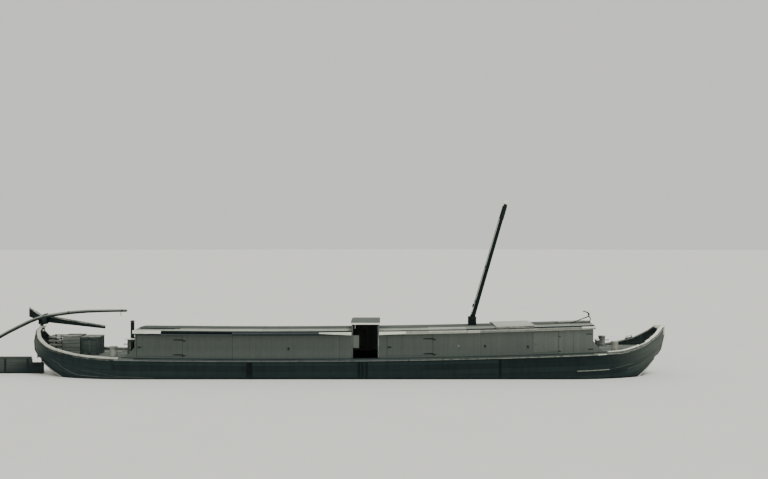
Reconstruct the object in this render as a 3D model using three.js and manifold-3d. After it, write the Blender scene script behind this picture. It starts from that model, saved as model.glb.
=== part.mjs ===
// Horse-towed wooden river barge with a long low house over its hold, a raked mast and a great rudder.
// Millimetres, +X to the bow, +Y to port, +Z up. The origin is under the middle of the flat bottom.
import * as THREE from 'three';
import { mergeVertices } from 'three/addons/utils/BufferGeometryUtils.js';
import Module from 'manifold-3d';

const wasm = await Module();
wasm.setup();

// Driving dimensions of the hull
const GAP = 0.3; // between pieces that touch
const CURVE_START = 7500; // where the straight sides begin to close in, from midships
const HALF_BEAM_BOTTOM = 1350;
const FLARE = 50 / 1240; // outward lean of the sides
const POST_HALF = 70;
const PLANK_REBATE = 60; // how far the planks end behind the face of the post
const POST_DEPTH = 200;
const SIDE_PLANK = 50;
const BOTTOM_PLANK = 60;
const DECK_PLANK = 40;
const RAIL_HEIGHT = 70;
const RAIL_OUT = 30;
const RAIL_IN = 95;

// Profiles of each end: distance from midships and height
const BOW = {
  sign: 1,
  tip: 11200,
  ramp: [[0, 0], [8700, 0], [9100, 55], [9500, 220], [10190, 640], [10600, 925], [10905, 1152], [11300, 1450]],
  post: [[10860, 1050], [10910, 1150], [11120, 1460], [11190, 1750], [11250, 2010], [11260, 2400]],
  rail: [[8970, 1510], [9400, 1540], [9750, 1610], [10100, 1700], [10490, 1840], [10910, 2130], [11040, 2270],
    [11200, 2310]],
  railStart: 8970,
};
const STERN = {
  sign: -1,
  tip: 11150,
  ramp: [[0, 0], [8200, 0], [8700, 55], [9200, 230], [10000, 600], [10500, 840], [11000, 1100], [11300, 1260]],
  post: [[10950, 1050], [11050, 1150], [11220, 1450], [11240, 1770], [11170, 2130], [11050, 2270], [11050, 2400]],
  rail: [[7850, 1335], [8220, 1360], [8890, 1390], [9450, 1450], [9830, 1520], [10270, 1605], [10580, 1710],
    [10930, 1930], [11070, 2110], [11150, 2270]],
  railStart: 7850,
};

// The house over the hold
const HOUSE = { aft: -7350, fore: 8460, half: 1090, wall: 50, height: 860, below: 200 };
const PASSAGE = { aft: 120, fore: 1070, board: 50 };
const ROOF = { half: 1150, edge: 60, camber: 80, thick: 40, lip: 20, overhang: 70 };
const WALL_THICK = 40;
const BULKHEAD_X = -5640;
const FLOOR_TOP = BOTTOM_PLANK + GAP + 40;

const lerp = THREE.MathUtils.lerp;

// Reads a table of [distance, height] pairs as straight lines
function along(table, at) {
  const last = table.length - 1;
  if (at <= table[0][0]) return table[0][1];
  for (let i = 1; i <= last; i++) {
    const [x0, z0] = table[i - 1];
    const [x1, z1] = table[i];
    if (at <= x1) return lerp(z0, z1, (at - x0) / (x1 - x0));
  }
  return table[last][1];
}

const swapped = (table) => table.map(([x, z]) => [z, x]);
const sheer = (x) => 1237 + 1.65e-6 * (x + 3000) ** 2;
const endOf = (x) => (x < 0 ? STERN : BOW);
const ramp = (x) => along(endOf(x).ramp, Math.abs(x));
const railTop = (x) => Math.max(along(endOf(x).rail, Math.abs(x)), sheer(x) + RAIL_HEIGHT);
const plankTop = (x) => (Math.abs(x) < endOf(x).railStart ? sheer(x) : railTop(x) - RAIL_HEIGHT);
const halfBeam = (z) => HALF_BEAM_BOTTOM + FLARE * z;
const plankEnd = (end, z) => along(swapped(end.post), z) - PLANK_REBATE;

// Shapes as manifold solids
function solid(geometry) {
  const bare = geometry.index ? geometry.toNonIndexed() : geometry.clone();
  bare.deleteAttribute('normal');
  bare.deleteAttribute('uv');
  const merged = mergeVertices(bare, 1e-3);
  const made = new wasm.Manifold(
    new wasm.Mesh({
      numProp: 3,
      vertProperties: new Float32Array(merged.attributes.position.array),
      triVerts: new Uint32Array(merged.index.array),
    }),
  );
  return made;
}

function geometryOf(made) {
  const mesh = made.getMesh();
  const geometry = new THREE.BufferGeometry();
  geometry.setAttribute('position', new THREE.BufferAttribute(new Float32Array(mesh.vertProperties), 3));
  geometry.setIndex(new THREE.BufferAttribute(new Uint32Array(mesh.triVerts), 1));
  const flat = geometry.toNonIndexed();
  flat.computeVertexNormals();
  return flat;
}

const union = (pieces) => pieces.reduce((sum, piece) => sum.add(piece));

// Closed body through rings of points, all with the same count
function loft(rings) {
  const count = rings[0].length;
  const positions = rings.flat();
  const faces = [];
  for (let i = 0; i + 1 < rings.length; i++) {
    for (let j = 0; j < count; j++) {
      const next = (j + 1) % count;
      const a = i * count + j;
      const b = i * count + next;
      faces.push([a, b, b + count], [a, b + count, a + count]);
    }
  }
  faces.push(...capFaces(rings[0], 0, false));
  faces.push(...capFaces(rings.at(-1), positions.length - count, true));
  let volume = 0;
  const vector = (index) => new THREE.Vector3(...positions[index]);
  for (const [a, b, c] of faces) volume += vector(a).dot(vector(b).cross(vector(c)));
  const ordered = volume < 0 ? faces.map(([a, b, c]) => [a, c, b]) : faces;
  const geometry = new THREE.BufferGeometry();
  geometry.setAttribute('position', new THREE.Float32BufferAttribute(positions.flat(), 3));
  geometry.setIndex(ordered.flat());
  return solid(geometry);
}

function ringNormal(ring) {
  const sum = [0, 0, 0];
  ring.forEach(([x0, y0, z0], i) => {
    const [x1, y1, z1] = ring[(i + 1) % ring.length];
    sum[0] += (y0 - y1) * (z0 + z1);
    sum[1] += (z0 - z1) * (x0 + x1);
    sum[2] += (x0 - x1) * (y0 + y1);
  });
  return sum;
}

// Triangles that close a ring, running with its points or against them
function capFaces(ring, start, withRing) {
  const sizes = ringNormal(ring).map(Math.abs);
  const drop = sizes.indexOf(Math.max(...sizes));
  const outline = ring.map((point) => new THREE.Vector2(...point.filter((_, axis) => axis !== drop)));
  const clockwise = THREE.ShapeUtils.isClockWise(outline);
  return THREE.ShapeUtils.triangulateShape(outline, []).map(([a, b, c]) => {
    const corners = [outline[a], outline[b], outline[c]];
    const runsWithRing = THREE.ShapeUtils.isClockWise(corners) === clockwise;
    return (runsWithRing === withRing ? [a, b, c] : [a, c, b]).map((index) => start + index);
  });
}

function box(x0, x1, y0, y1, z0, z1) {
  const geometry = new THREE.BoxGeometry(x1 - x0, y1 - y0, z1 - z0);
  return solid(geometry.translate((x0 + x1) / 2, (y0 + y1) / 2, (z0 + z1) / 2));
}

function extruded(points, holes, depth, xAxis, yAxis, origin) {
  const shape = new THREE.Shape(points.map((p) => new THREE.Vector2(...p)));
  for (const hole of holes) shape.holes.push(new THREE.Path(hole.map((p) => new THREE.Vector2(...p))));
  const geometry = new THREE.ExtrudeGeometry(shape, { depth, bevelEnabled: false });
  const zAxis = new THREE.Vector3().crossVectors(xAxis, yAxis);
  geometry.applyMatrix4(new THREE.Matrix4().makeBasis(xAxis, yAxis, zAxis).setPosition(origin));
  return solid(geometry);
}

const X = new THREE.Vector3(1, 0, 0);
const Y = new THREE.Vector3(0, 1, 0);
const Z = new THREE.Vector3(0, 0, 1);

// Boards cut from an outline seen from the side, from ahead or from above
const sideBoard = (points, y0, y1, holes = []) =>
  extruded(points, holes, y1 - y0, X, Z, new THREE.Vector3(0, y1, 0));
const crossBoard = (points, x0, x1, holes = []) =>
  extruded(points, holes, x1 - x0, Y, Z, new THREE.Vector3(x0, 0, 0));
const flatBoard = (points, z0, z1) => extruded(points, [], z1 - z0, X, Y, new THREE.Vector3(0, 0, z0));

// Cylinder between two heights, or lying along Y
function post(x, y, radius, z0, z1, sides = 16, topRadius = radius) {
  const geometry = new THREE.CylinderGeometry(topRadius, radius, z1 - z0, sides).rotateX(Math.PI / 2);
  return solid(geometry.translate(x, y, (z0 + z1) / 2));
}

function crossPin(x, z, radius, y0, y1, sides = 16) {
  const geometry = new THREE.CylinderGeometry(radius, radius, y1 - y0, sides);
  return solid(geometry.translate(x, (y0 + y1) / 2, z));
}

const steps = (from, to, count) => Array.from({ length: count + 1 }, (_, i) => lerp(from, to, i / count));

// Hull form: a station is a plain distance on the straight part, or a share of the way to a post
const END_SHARES = [0.15, 0.3, 0.42, 0.54, 0.65, 0.75, 0.84, 0.91, 0.96, 0.985, 1];
const STRAIGHT = steps(-CURVE_START, CURVE_START, 8);
const SQUEEZE = 2 / 3;

const nominal = (end, share) => end.sign * lerp(CURVE_START, end.tip, share);

// A point of the side at a station and height, moved in by inset
function sidePoint(side, station, z, inset) {
  if (station.end === undefined) return [station.x, side * (halfBeam(z) - inset), z];
  const { end, share } = station;
  const reach = plankEnd(end, z) - inset;
  const foot = POST_HALF + GAP;
  const narrowing = (1 - share ** 2) ** SQUEEZE;
  return [
    end.sign * lerp(CURVE_START, reach, share),
    side * (foot + (halfBeam(z) - inset - foot) * narrowing),
    z,
  ];
}

const stationX = (station) => (station.end === undefined ? station.x : nominal(station.end, station.share));
const endStations = (end, shares) => shares.map((share) => ({ end, share }));
const HULL_STATIONS = [
  ...endStations(STERN, END_SHARES).reverse(),
  ...STRAIGHT.map((x) => ({ x })),
  ...endStations(BOW, END_SHARES),
];
const LEVELS = [0, 0.3, 0.55, 0.78, 1];

// Everything under the top face of the bottom planking
const underBottom = sideBoard(
  [
    [-11300, -500],
    [11300, -500],
    ...[...BOW.ramp].reverse().map(([x, z]) => [x, z + BOTTOM_PLANK + GAP]).slice(0, -1),
    ...STERN.ramp.slice(1).map(([x, z]) => [-x, z + BOTTOM_PLANK + GAP]),
  ],
  -2000,
  2000,
);

// The grown shapes, taller too, trim what lies against the planks
function sidePlanking(side, growOut = 0, growIn = 0, growUp = 0) {
  const rings = HULL_STATIONS.map((station) => {
    const x = stationX(station);
    const low = ramp(x) - 40;
    const heights = LEVELS.map((level) => lerp(low, plankTop(x), level));
    const outer = heights.map((z) => sidePoint(side, station, z, -growOut));
    const inner = heights.map((z) => sidePoint(side, station, z, SIDE_PLANK + growIn));
    if (growUp > 0) {
      for (const wall of [outer, inner]) {
        const [x1, y1, z1] = wall.at(-1);
        wall.push([x1, y1, z1 + growUp]);
      }
    }
    return [...outer, ...inner.reverse()];
  });
  return loft(rings);
}

const planking = { '-1': sidePlanking(-1).subtract(underBottom), 1: sidePlanking(1).subtract(underBottom) };
const BEYOND = 1600; // reaches past any plank that is trimmed to the inside of the hull
const insideCutter = union([-1, 1].map((side) => sidePlanking(side, BEYOND, GAP, 300)));
const outsideCutter = union([-1, 1].map((side) => sidePlanking(side, GAP, 0)));

function bottomPlanking() {
  const stations = HULL_STATIONS.map(stationX);
  const outline = stations.map((x) => {
    const end = endOf(x);
    const z = ramp(x) + BOTTOM_PLANK;
    const share = Math.max(0, (Math.abs(x) - CURVE_START) / (plankEnd(end, z) - CURVE_START));
    const narrowing = share < 1 ? (1 - share ** 2) ** SQUEEZE : 0;
    return [x, POST_HALF + (halfBeam(z) - POST_HALF) * narrowing];
  });
  const around = [...outline.map(([x, y]) => [x, -y]), ...outline.reverse()];
  const under = [
    ...STERN.ramp.slice(1, -1).map(([x, z]) => [-x, z]).reverse(),
    ...BOW.ramp.slice(1, -1),
  ];
  const over = under.map(([x, z]) => [x, z + BOTTOM_PLANK]).reverse();
  return flatBoard(around, -100, 1500).intersect(sideBoard([...under, ...over], -1500, 1500));
}

// Stem and sternpost, with what the head adds on top
function postBoard(end, head, grow = 0) {
  const outer = end.post.filter(([, z]) => z < 2300).map(([x, z]) => [end.sign * x, z]);
  const inner = outer.map(([x, z]) => [x - end.sign * (POST_DEPTH + grow), z]).reverse();
  const board = sideBoard([...outer, ...head, ...inner], -POST_HALF - grow, POST_HALF + grow);
  return board.subtract(underBottom);
}

const STEM_HEAD = [[11265, 2290], [11210, 2335], [10920, 2345], [10860, 2310], [10880, 2250], [11000, 2200]];
const STERN_HEAD = [[-11050, 2300], [-10850, 2300]];

// Strip around the hull: two insets and heights given for each station
function strip(side, stations, outset, inset, bottom, top) {
  const rings = stations.map((station) => {
    const x = stationX(station);
    return [
      sidePoint(side, station, bottom(x), -outset),
      sidePoint(side, station, top(x), -outset),
      sidePoint(side, station, top(x), inset),
      sidePoint(side, station, bottom(x), inset),
    ];
  });
  return loft(rings);
}

function capRail(side, end) {
  const first = (end.railStart - CURVE_START) / (end.tip - CURVE_START);
  const shares = [first, ...END_SHARES.filter((share) => share > first + 0.02)];
  const stations = endStations(end, shares);
  const railBottom = (x) => railTop(x) - RAIL_HEIGHT + GAP;
  const rail = strip(side, stations, RAIL_OUT, RAIL_IN, railBottom, railTop);
  const grown = sidePlanking(side, GAP, GAP);
  return rail.subtract(grown).subtract(grown.translate([0, 0, GAP]));
}

// Rubbing strake at the deck edge and under the cap rails, with the fender boards that hang from it
const WALE = { height: 60, out: 35, drop: 14, easing: 400 };
const waleTop = (x) => {
  const past = (Math.abs(x) - endOf(x).railStart) / WALE.easing;
  return plankTop(x) - WALE.drop * Math.min(1, Math.max(0, past));
};
const FENDER_BOTTOM = 640;
const FENDERS = [
  // from, to, thick
  [-3460, -3260, 30],
  [350, 420, 30],
  [470, 540, 30],
  [610, 680, 30],
  [5170, 5250, 22],
];

function wale(side) {
  const stations = HULL_STATIONS.filter((station) => station.share === undefined || station.share < 0.99);
  const band = strip(side, stations, WALE.out, -GAP, (x) => waleTop(x) - WALE.height, waleTop);
  const boards = FENDERS.map(([from, to, thick]) => {
    const top = sheer(from) - WALE.height / 2;
    const inner = (z) => halfBeam(z) + GAP;
    const section = [
      [side * inner(FENDER_BOTTOM), FENDER_BOTTOM],
      [side * (inner(FENDER_BOTTOM) + thick), FENDER_BOTTOM],
      [side * (inner(top) + thick), top],
      [side * inner(top), top],
    ];
    return crossBoard(section, from, to);
  });
  return union([band, ...boards]).subtract(outsideCutter);
}

// Plate that follows the sheer
function sheerPlate(x0, x1, y0, y1, z0, z1, count = 8) {
  return loft(steps(x0, x1, count).map((x) => [
    [x, y0, sheer(x) + z0],
    [x, y1, sheer(x) + z0],
    [x, y1, sheer(x) + z1],
    [x, y0, sheer(x) + z1],
  ]));
}

// Side deck, with the sill of the passage at its inner edge
function sideDeck(side) {
  const near = HOUSE.half + GAP;
  const ys = side > 0 ? [near, 1450] : [-1450, -near];
  const deck = sheerPlate(HOUSE.aft, HOUSE.fore, ...ys, -DECK_PLANK, 0, 12).subtract(insideCutter);
  return deck.add(doorSill(side));
}

const stemCutter = postBoard(BOW, STEM_HEAD, GAP);
const sternCutter = postBoard(STERN, STERN_HEAD, GAP);

function endDeck(x0, x1, cutter) {
  const plate = sheerPlate(x0, x1, -1450, 1450, -DECK_PLANK, 0);
  return plate.subtract(insideCutter).subtract(cutter);
}

// Ribs inside one side, held together by a stringer
const RIBS = { first: -5400, pitch: 1340, count: 11, wide: 70, deep: 60 };
const STRINGER = { bottom: 880, top: 960, thick: 95 };

function ribs(side) {
  const inner = (z) => halfBeam(z) - SIDE_PLANK - GAP;
  const section = (z0, z1, depth) => [
    [side * inner(z0), z0],
    [side * inner(z1), z1],
    [side * (inner(z1) - depth), z1],
    [side * (inner(z0) - depth), z0],
  ];
  const last = RIBS.first + RIBS.pitch * (RIBS.count - 1);
  const bars = steps(RIBS.first, last, RIBS.count - 1).map((x) => {
    const top = sheer(x) - DECK_PLANK - 2;
    return crossBoard(section(FLOOR_TOP + GAP, top, RIBS.deep), x - RIBS.wide / 2, x + RIBS.wide / 2);
  });
  const stringer = crossBoard(section(STRINGER.bottom, STRINGER.top, STRINGER.thick), RIBS.first, last);
  return union([stringer, ...bars]).subtract(insideCutter);
}

// House
const roofSide = (x) => sheer(x) + HOUSE.height;
const TAIL = { long: 470, high: 420, steps: 6 };
const ROOF_YS = [-1150, -1090, -1040, -780, -520, -260, 0, 260, 520, 780, 1040, 1090, 1150];
const crown = (y) => ROOF.camber * (1 - (y / ROOF.half) ** 2);
const roofTop = (x, y) => roofSide(x) + ROOF.edge + crown(y);
const roofUnder = (x, y) => roofTop(x, y) - ROOF.thick;

const ROOF_SECTIONS = [
  // name, from, to
  ['roof_cabin', HOUSE.aft - ROOF.overhang, -6444],
  ['roof_aft_1', -6440, -3002],
  ['roof_aft_2', -2998, PASSAGE.aft - GAP],
  ['roof_fore_1', PASSAGE.fore + GAP, 2768],
  ['roof_fore_2', 2772, 4098],
  ['roof_fore_3', 4102, 6598],
  ['roof_fore_4', 6602, HOUSE.fore + ROOF.overhang],
];
const roofRings = (x0, x1) => steps(x0, x1, Math.max(1, Math.round((x1 - x0) / 900)));
const ROOF_RINGS = ROOF_SECTIONS.flatMap(([, from, to]) => roofRings(from, to));

// Openings of the side doors, closed by leaves hung at the end nearer to hinge
const SIDE_DOORS = [
  // name, from, to
  ['aft', -7290, -5700],
  ['mid', 1340, 2930],
  ['fore', 6380, 7270],
];
const DOOR = { bottom: 90, top: 800, clear: 5, thick: 40 };

function doorOutline(from, to, clear) {
  return [
    [from + clear, sheer(from) + DOOR.bottom + clear],
    [to - clear, sheer(to) + DOOR.bottom + clear],
    [to - clear, sheer(to) + DOOR.top - clear],
    [from + clear, sheer(from) + DOOR.top - clear],
  ];
}

// Strap hinges: a knuckle on the door over a pin on the wall
const HINGE = { radius: 12, high: 30, strap: 320, thick: 7, out: 14, heights: [135, 650] };

function hingePins(side, x) {
  return HINGE.heights.map((height) => {
    const top = sheer(x) + height;
    const y = side * (HOUSE.half + HINGE.out);
    const pin = post(x, y, HINGE.radius, top - HINGE.high, top, 12);
    const inner = side * (HOUSE.half - 10);
    const plate = box(x - 2, x + 60, Math.min(inner, y), Math.max(inner, y), top - HINGE.high, top - 4);
    return pin.add(plate);
  });
}

function houseSide(side, x0, x1, tailSign, doors) {
  const bottom = steps(x0, x1, 8).map((x) => [x, sheer(x) - HOUSE.below]);
  const seats = [x0, ...ROOF_RINGS.filter((x) => x > x0 && x < x1), x1];
  const top = seats.reverse().map((x) => [x, roofSide(x)]);
  const root = tailSign < 0 ? x0 : x1;
  const tail = steps(0, 1, TAIL.steps).map((share) => {
    const x = root + tailSign * TAIL.long * share;
    return [x, sheer(x) + GAP + 30 + (TAIL.high - 30) * (1 - share) ** 1.7];
  });
  const foot = steps(1, 0, 2).map((share) => {
    const x = root + tailSign * TAIL.long * share;
    return [x, sheer(x) + GAP];
  });
  const outline = tailSign < 0
    ? [...bottom, ...top, ...tail, ...foot]
    : [...bottom, ...foot.reverse(), ...tail.reverse(), ...top];
  const holes = doors.map(([, from, to]) => doorOutline(from, to, 0));
  const inner = side * (HOUSE.half - HOUSE.wall);
  const outer = side * HOUSE.half;
  const board = sideBoard(outline, Math.min(inner, outer), Math.max(inner, outer), holes);
  return union([board, ...doors.flatMap(([, , to]) => hingePins(side, to))]);
}

// A side door about its hinge, which lies at its local origin
function sideDoor(side, from, to) {
  const y0 = side * (HOUSE.half - 5 - DOOR.thick);
  const y1 = side * (HOUSE.half - 5);
  const leaf = sideBoard(doorOutline(from, to, DOOR.clear), Math.min(y0, y1), Math.max(y0, y1));
  return union([leaf, ...hingeStraps(side, to)]).translate([-to, -side * (HOUSE.half + HINGE.out), 0]);
}

function hingeStraps(side, to) {
  const slope = sheer(to) - sheer(to - HINGE.strap);
  const y = side * (HOUSE.half + HINGE.out);
  const face = side * (HOUSE.half - 6);
  const near = side * (HOUSE.half + HINGE.thick);
  return HINGE.heights.map((height) => {
    const z = sheer(to) + height + GAP;
    const knuckle = post(to, y, HINGE.radius, z, z + HINGE.high, 12);
    const strap = sideBoard(
      [
        [to - HINGE.strap, z - slope + 2],
        [to, z + 2],
        [to, z + HINGE.high - 2],
        [to - HINGE.strap, z - slope + HINGE.high - 2],
      ],
      Math.min(face, near),
      Math.max(face, near),
    );
    return knuckle.add(strap);
  });
}

// End walls and bulkhead: between the house sides above, out to the planking below
function crossWall(x0, x1, opening) {
  const x = (x0 + x1) / 2;
  const inside = HOUSE.half - HOUSE.wall - GAP;
  const shoulder = Math.min(sheer(x0), sheer(x1)) - HOUSE.below - 2;
  const head = ROOF_YS.filter((y) => Math.abs(y) < HOUSE.half - HOUSE.wall);
  const low = (y) => Math.min(roofUnder(x0, y), roofUnder(x1, y)) - GAP;
  const outline = [
    [-1300, FLOOR_TOP + GAP],
    [1300, FLOOR_TOP + GAP],
    [1300, shoulder],
    [inside, shoulder],
    [inside, low(inside)],
    ...head.reverse().map((y) => [y, low(y)]),
    [-inside, low(inside)],
    [-inside, shoulder],
    [-1300, shoulder],
  ];
  const holes = opening ? [opening(x)] : [];
  return crossBoard(outline, x0, x1, holes).subtract(insideCutter);
}

const CABIN_DOOR = { half: 300, bottom: 60, top: 800 };
const cabinOpening = (x) => [
  [-CABIN_DOOR.half, sheer(x) + CABIN_DOOR.bottom],
  [CABIN_DOOR.half, sheer(x) + CABIN_DOOR.bottom],
  [CABIN_DOOR.half, sheer(x) + CABIN_DOOR.top],
  [-CABIN_DOOR.half, sheer(x) + CABIN_DOOR.top],
];

// One section of roof: cambered boards with a lip outside the house sides
function roofSection(x0, x1) {
  const rings = roofRings(x0, x1).map((x) => {
    const side = roofSide(x);
    const seat = HOUSE.half - HOUSE.wall;
    const over = ROOF_YS.map((y) => [x, y, roofTop(x, y)]);
    const under = ROOF_YS.filter((y) => Math.abs(y) < seat).map((y) => [x, y, roofUnder(x, y)]);
    const lip = (sign) => [
      [x, sign * ROOF.half, side - ROOF.lip],
      [x, sign * (HOUSE.half + 6), side - ROOF.lip],
      [x, sign * (HOUSE.half + 6), side + GAP],
      [x, sign * seat, side + GAP],
      [x, sign * seat, roofUnder(x, seat)],
    ];
    return [...over, ...lip(1), ...under.reverse(), ...lip(-1).reverse()];
  });
  return loft(rings);
}

// Mast in its case, leaning forward about a pin between the cheeks
const MAST = { x: 4380, z: 2540, lean: 16.3, long: 4390, foot: 85, top: 72, heel: 100, pin: 20, truck: 80 };
const CASE = { aft: 4250, fore: 4520, inner: 90, outer: 140, top: 2630, block: 2390 };

function mastCase() {
  const cheeks = [-1, 1].map((side) =>
    box(CASE.aft, CASE.fore, Math.min(side * CASE.inner, side * CASE.outer),
      Math.max(side * CASE.inner, side * CASE.outer), FLOOR_TOP + GAP, CASE.top));
  const block = box(CASE.aft, CASE.fore, -CASE.inner - 5, CASE.inner + 5, FLOOR_TOP + GAP, CASE.block);
  return union([...cheeks, block]).subtract(crossPin(MAST.x, MAST.z, MAST.pin + 0.6, -200, 200, 24));
}

// Mast about its pin: heel, tapered pole and the ball at its head
function mast() {
  const pole = post(0, 0, MAST.foot, 0, MAST.long - MAST.truck, 16, MAST.top);
  const heel = box(-MAST.foot, MAST.foot, -MAST.foot, MAST.foot, -MAST.heel, 160);
  const ball = solid(new THREE.SphereGeometry(MAST.truck, 14, 10).translate(0, 0, MAST.long - MAST.truck));
  return union([pole, heel, ball, crossPin(0, 0, MAST.pin, -CASE.outer, CASE.outer, 24)]);
}

// Hatch in the fore roof
const HATCH = { aft: 5140, fore: 6440, half: 940, wall: 50, rise: 12, camber: 35, lid: 38, over: 20 };
const hatchTop = (x, y) => roofTop(x, 0) + HATCH.rise - HATCH.camber * (y / HATCH.half) ** 2;
const HATCH_YS = steps(-HATCH.half, HATCH.half, 4);
const LID_YS = [-HATCH.half - HATCH.over, ...HATCH_YS, HATCH.half + HATCH.over];
const hatchLine = (x, ys, lift) => ys.map((y) => [x, y, hatchTop(x, y) + lift]);

function roofWithHatch(x0, x1) {
  const coaming = loft([HATCH.aft, HATCH.fore].map((x) => [
    [x, -HATCH.half, roofUnder(x, HATCH.half) + 5],
    [x, HATCH.half, roofUnder(x, HATCH.half) + 5],
    ...hatchLine(x, HATCH_YS, 0).reverse(),
  ]));
  const well = box(HATCH.aft + HATCH.wall, HATCH.fore - HATCH.wall, -HATCH.half + HATCH.wall,
    HATCH.half - HATCH.wall, 2000, 2700);
  const slot = box(CASE.aft - GAP, CASE.fore + GAP, -CASE.outer - GAP, CASE.outer + GAP, 2000, 2700);
  return roofSection(x0, x1).add(coaming).subtract(well).subtract(slot);
}

function hatchLid() {
  const ends = [HATCH.aft - HATCH.over, HATCH.fore + HATCH.over];
  return loft(ends.map((x) => [...hatchLine(x, LID_YS, GAP), ...hatchLine(x, LID_YS, GAP + HATCH.lid).reverse()]));
}

// Passage across the house: portals at both ends of the gap in the roof, and a hinged cover over them
const HOOD = { edge: 2450, camber: 50, thick: 50, half: 1130, over: 30 };
const hoodUnder = (y) => HOOD.edge + HOOD.camber * (1 - (y / HOOD.half) ** 2);
const HOOD_YS = [-1130, -1090, -780, -390, 0, 390, 780, 1090, 1130];
const PORTAL = { leg: 65, head: 40 };

function portal(x0) {
  const inside = HOUSE.half - HOUSE.wall - 0.5;
  const seat = roofSide(PASSAGE.fore) + GAP;
  const foot = FLOOR_TOP + GAP;
  const head = HOOD_YS.filter((y) => Math.abs(y) < HOOD.half).reverse();
  const outline = [
    [inside - PORTAL.leg, foot],
    [inside, foot],
    [inside, seat],
    [HOUSE.half, seat],
    ...head.map((y) => [y, hoodUnder(y) - GAP]),
    [-HOUSE.half, seat],
    [-inside, seat],
    [-inside, foot],
    [-inside + PORTAL.leg, foot],
    [-inside + PORTAL.leg, seat + PORTAL.head],
    [inside - PORTAL.leg, seat + PORTAL.head],
  ];
  return crossBoard(outline, x0, x0 + PASSAGE.board);
}

// Blank board on the starboard side of the aft portal
const JAMB_BOARD = { from: 165, to: 380, bottom: 1640, top: 2070, thick: 20 };

function portalAft() {
  const face = -(HOUSE.half - HOUSE.wall - 0.5);
  const { from, to, bottom, top, thick } = JAMB_BOARD;
  return portal(PASSAGE.aft).add(box(from, to, face, face + thick, bottom, top));
}

// Tall leaf that closes the passage on the port side, narrower above the house sides
const LEAF = { clear: 8, shoulder: 2090, top: 2435, hinge: 1070 };

function passageDoor() {
  const low = (x) => sheer(x) + 30 + DOOR.clear;
  const [aft, fore] = [PASSAGE.aft + LEAF.clear, PASSAGE.fore - LEAF.clear];
  const [innerAft, innerFore] = [aft + PASSAGE.board, fore - PASSAGE.board];
  const outline = [
    [aft, low(aft)],
    [fore, low(fore)],
    [fore, LEAF.shoulder],
    [innerFore, LEAF.shoulder],
    [innerFore, LEAF.top],
    [innerAft, LEAF.top],
    [innerAft, LEAF.shoulder],
    [aft, LEAF.shoulder],
  ];
  const leaf = sideBoard(outline, HOUSE.half - 5 - DOOR.thick, HOUSE.half - 5);
  return union([leaf, ...hingeStraps(1, LEAF.hinge)]).translate([-LEAF.hinge, -HOUSE.half - HINGE.out, 0]);
}

function passageHatch() {
  const under = HOOD_YS.map((y) => [y, hoodUnder(y)]);
  const over = HOOD_YS.map((y) => [y, hoodUnder(y) + HOOD.thick]).reverse();
  return crossBoard([...under, ...over], PASSAGE.aft - HOOD.over, PASSAGE.fore + HOOD.over);
}

function doorSill(side) {
  const outline = [
    [PASSAGE.aft, sheer(PASSAGE.aft) - HOUSE.below],
    [PASSAGE.fore, sheer(PASSAGE.fore) - HOUSE.below],
    [PASSAGE.fore, sheer(PASSAGE.fore) + 30],
    [PASSAGE.aft, sheer(PASSAGE.aft) + 30],
  ];
  const ys = [side * (HOUSE.half - HOUSE.wall), side * (HOUSE.half + 20)];
  return sideBoard(outline, Math.min(...ys), Math.max(...ys));
}

// Rudder about its upright axis: blade, head, tiller and the long curved spar
const RUDDER = { x: -10980, half: 30, cap: 50, pinTop: 1078.6, pin: 20 };
const BLADE = [
  [60, 120], [60, 1000], [-330, 1000], [-370, 1200], [-2620, 1200], [-2620, 420], [-2380, 190], [-1900, 120],
];
const TILLER_HALF = 50;
const TILLER = [
  [-440, 2630], [0, 2450], [520, 2395], [2260, 2200], [2260, 2310], [520, 2610], [0, 2680], [-440, 2970],
];
const SPAR_Y = -(TILLER_HALF + 63 + GAP);
const SPAR = [
  // X from the axis, height, radius
  [3080, 2850, 45], [2400, 2845, 50], [1720, 2827, 55], [1010, 2773, 59], [180, 2648, 63], [-350, 2480, 63],
  [-780, 2273, 63], [-1490, 1898, 63], [-2020, 1580, 60], [-2340, 1370, 56], [-2540, 1170, 52],
];

function rudderBlade() {
  const board = sideBoard(BLADE, -RUDDER.half, RUDDER.half);
  const stock = box(-60, 60, -60, 60, 120, 1000);
  const cap = box(-2620, -370, -RUDDER.cap, RUDDER.cap, 1130, 1200);
  return union([board, stock, cap, post(0, 0, RUDDER.pin, 990, RUDDER.pinTop)]);
}

const tillerBoard = () => sideBoard(TILLER, -TILLER_HALF, TILLER_HALF);

function rudderHead() {
  const neck = post(0, 0, 60, 2300 + GAP, 2370, 20);
  const block = box(-100, 160, -75, 75, 2360, 2600);
  const above = [[-440, 2630 - GAP], [0, 2450 - GAP], [520, 2395 - GAP], [520, 3000], [-440, 3000]];
  return neck.add(block).subtract(sideBoard(above, -200, 200));
}

function spar() {
  const sides = 12;
  return loft(SPAR.map(([x, z, radius], i) => {
    const [xa, za] = SPAR[Math.max(0, i - 1)];
    const [xb, zb] = SPAR[Math.min(SPAR.length - 1, i + 1)];
    const long = Math.hypot(xb - xa, zb - za);
    const [nx, nz] = [-(zb - za) / long, (xb - xa) / long];
    return steps(0, 2 * Math.PI, sides).slice(0, -1).map((turn) => [
      x + radius * Math.cos(turn) * nx,
      SPAR_Y + radius * Math.sin(turn),
      z + radius * Math.cos(turn) * nz,
    ]);
  }));
}

// Fittings that stand on the decks
const BITTS = [
  // name, x, y, radius, top, pin length
  ['bitt_stern', -8090, 1080, 125, 1700, 600],
  ['bitt_bow', 9240, 900, 118, 1850, 520],
];
const BOLLARD = { x: 8620, y: 940, radius: 80, top: 1950 };

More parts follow.
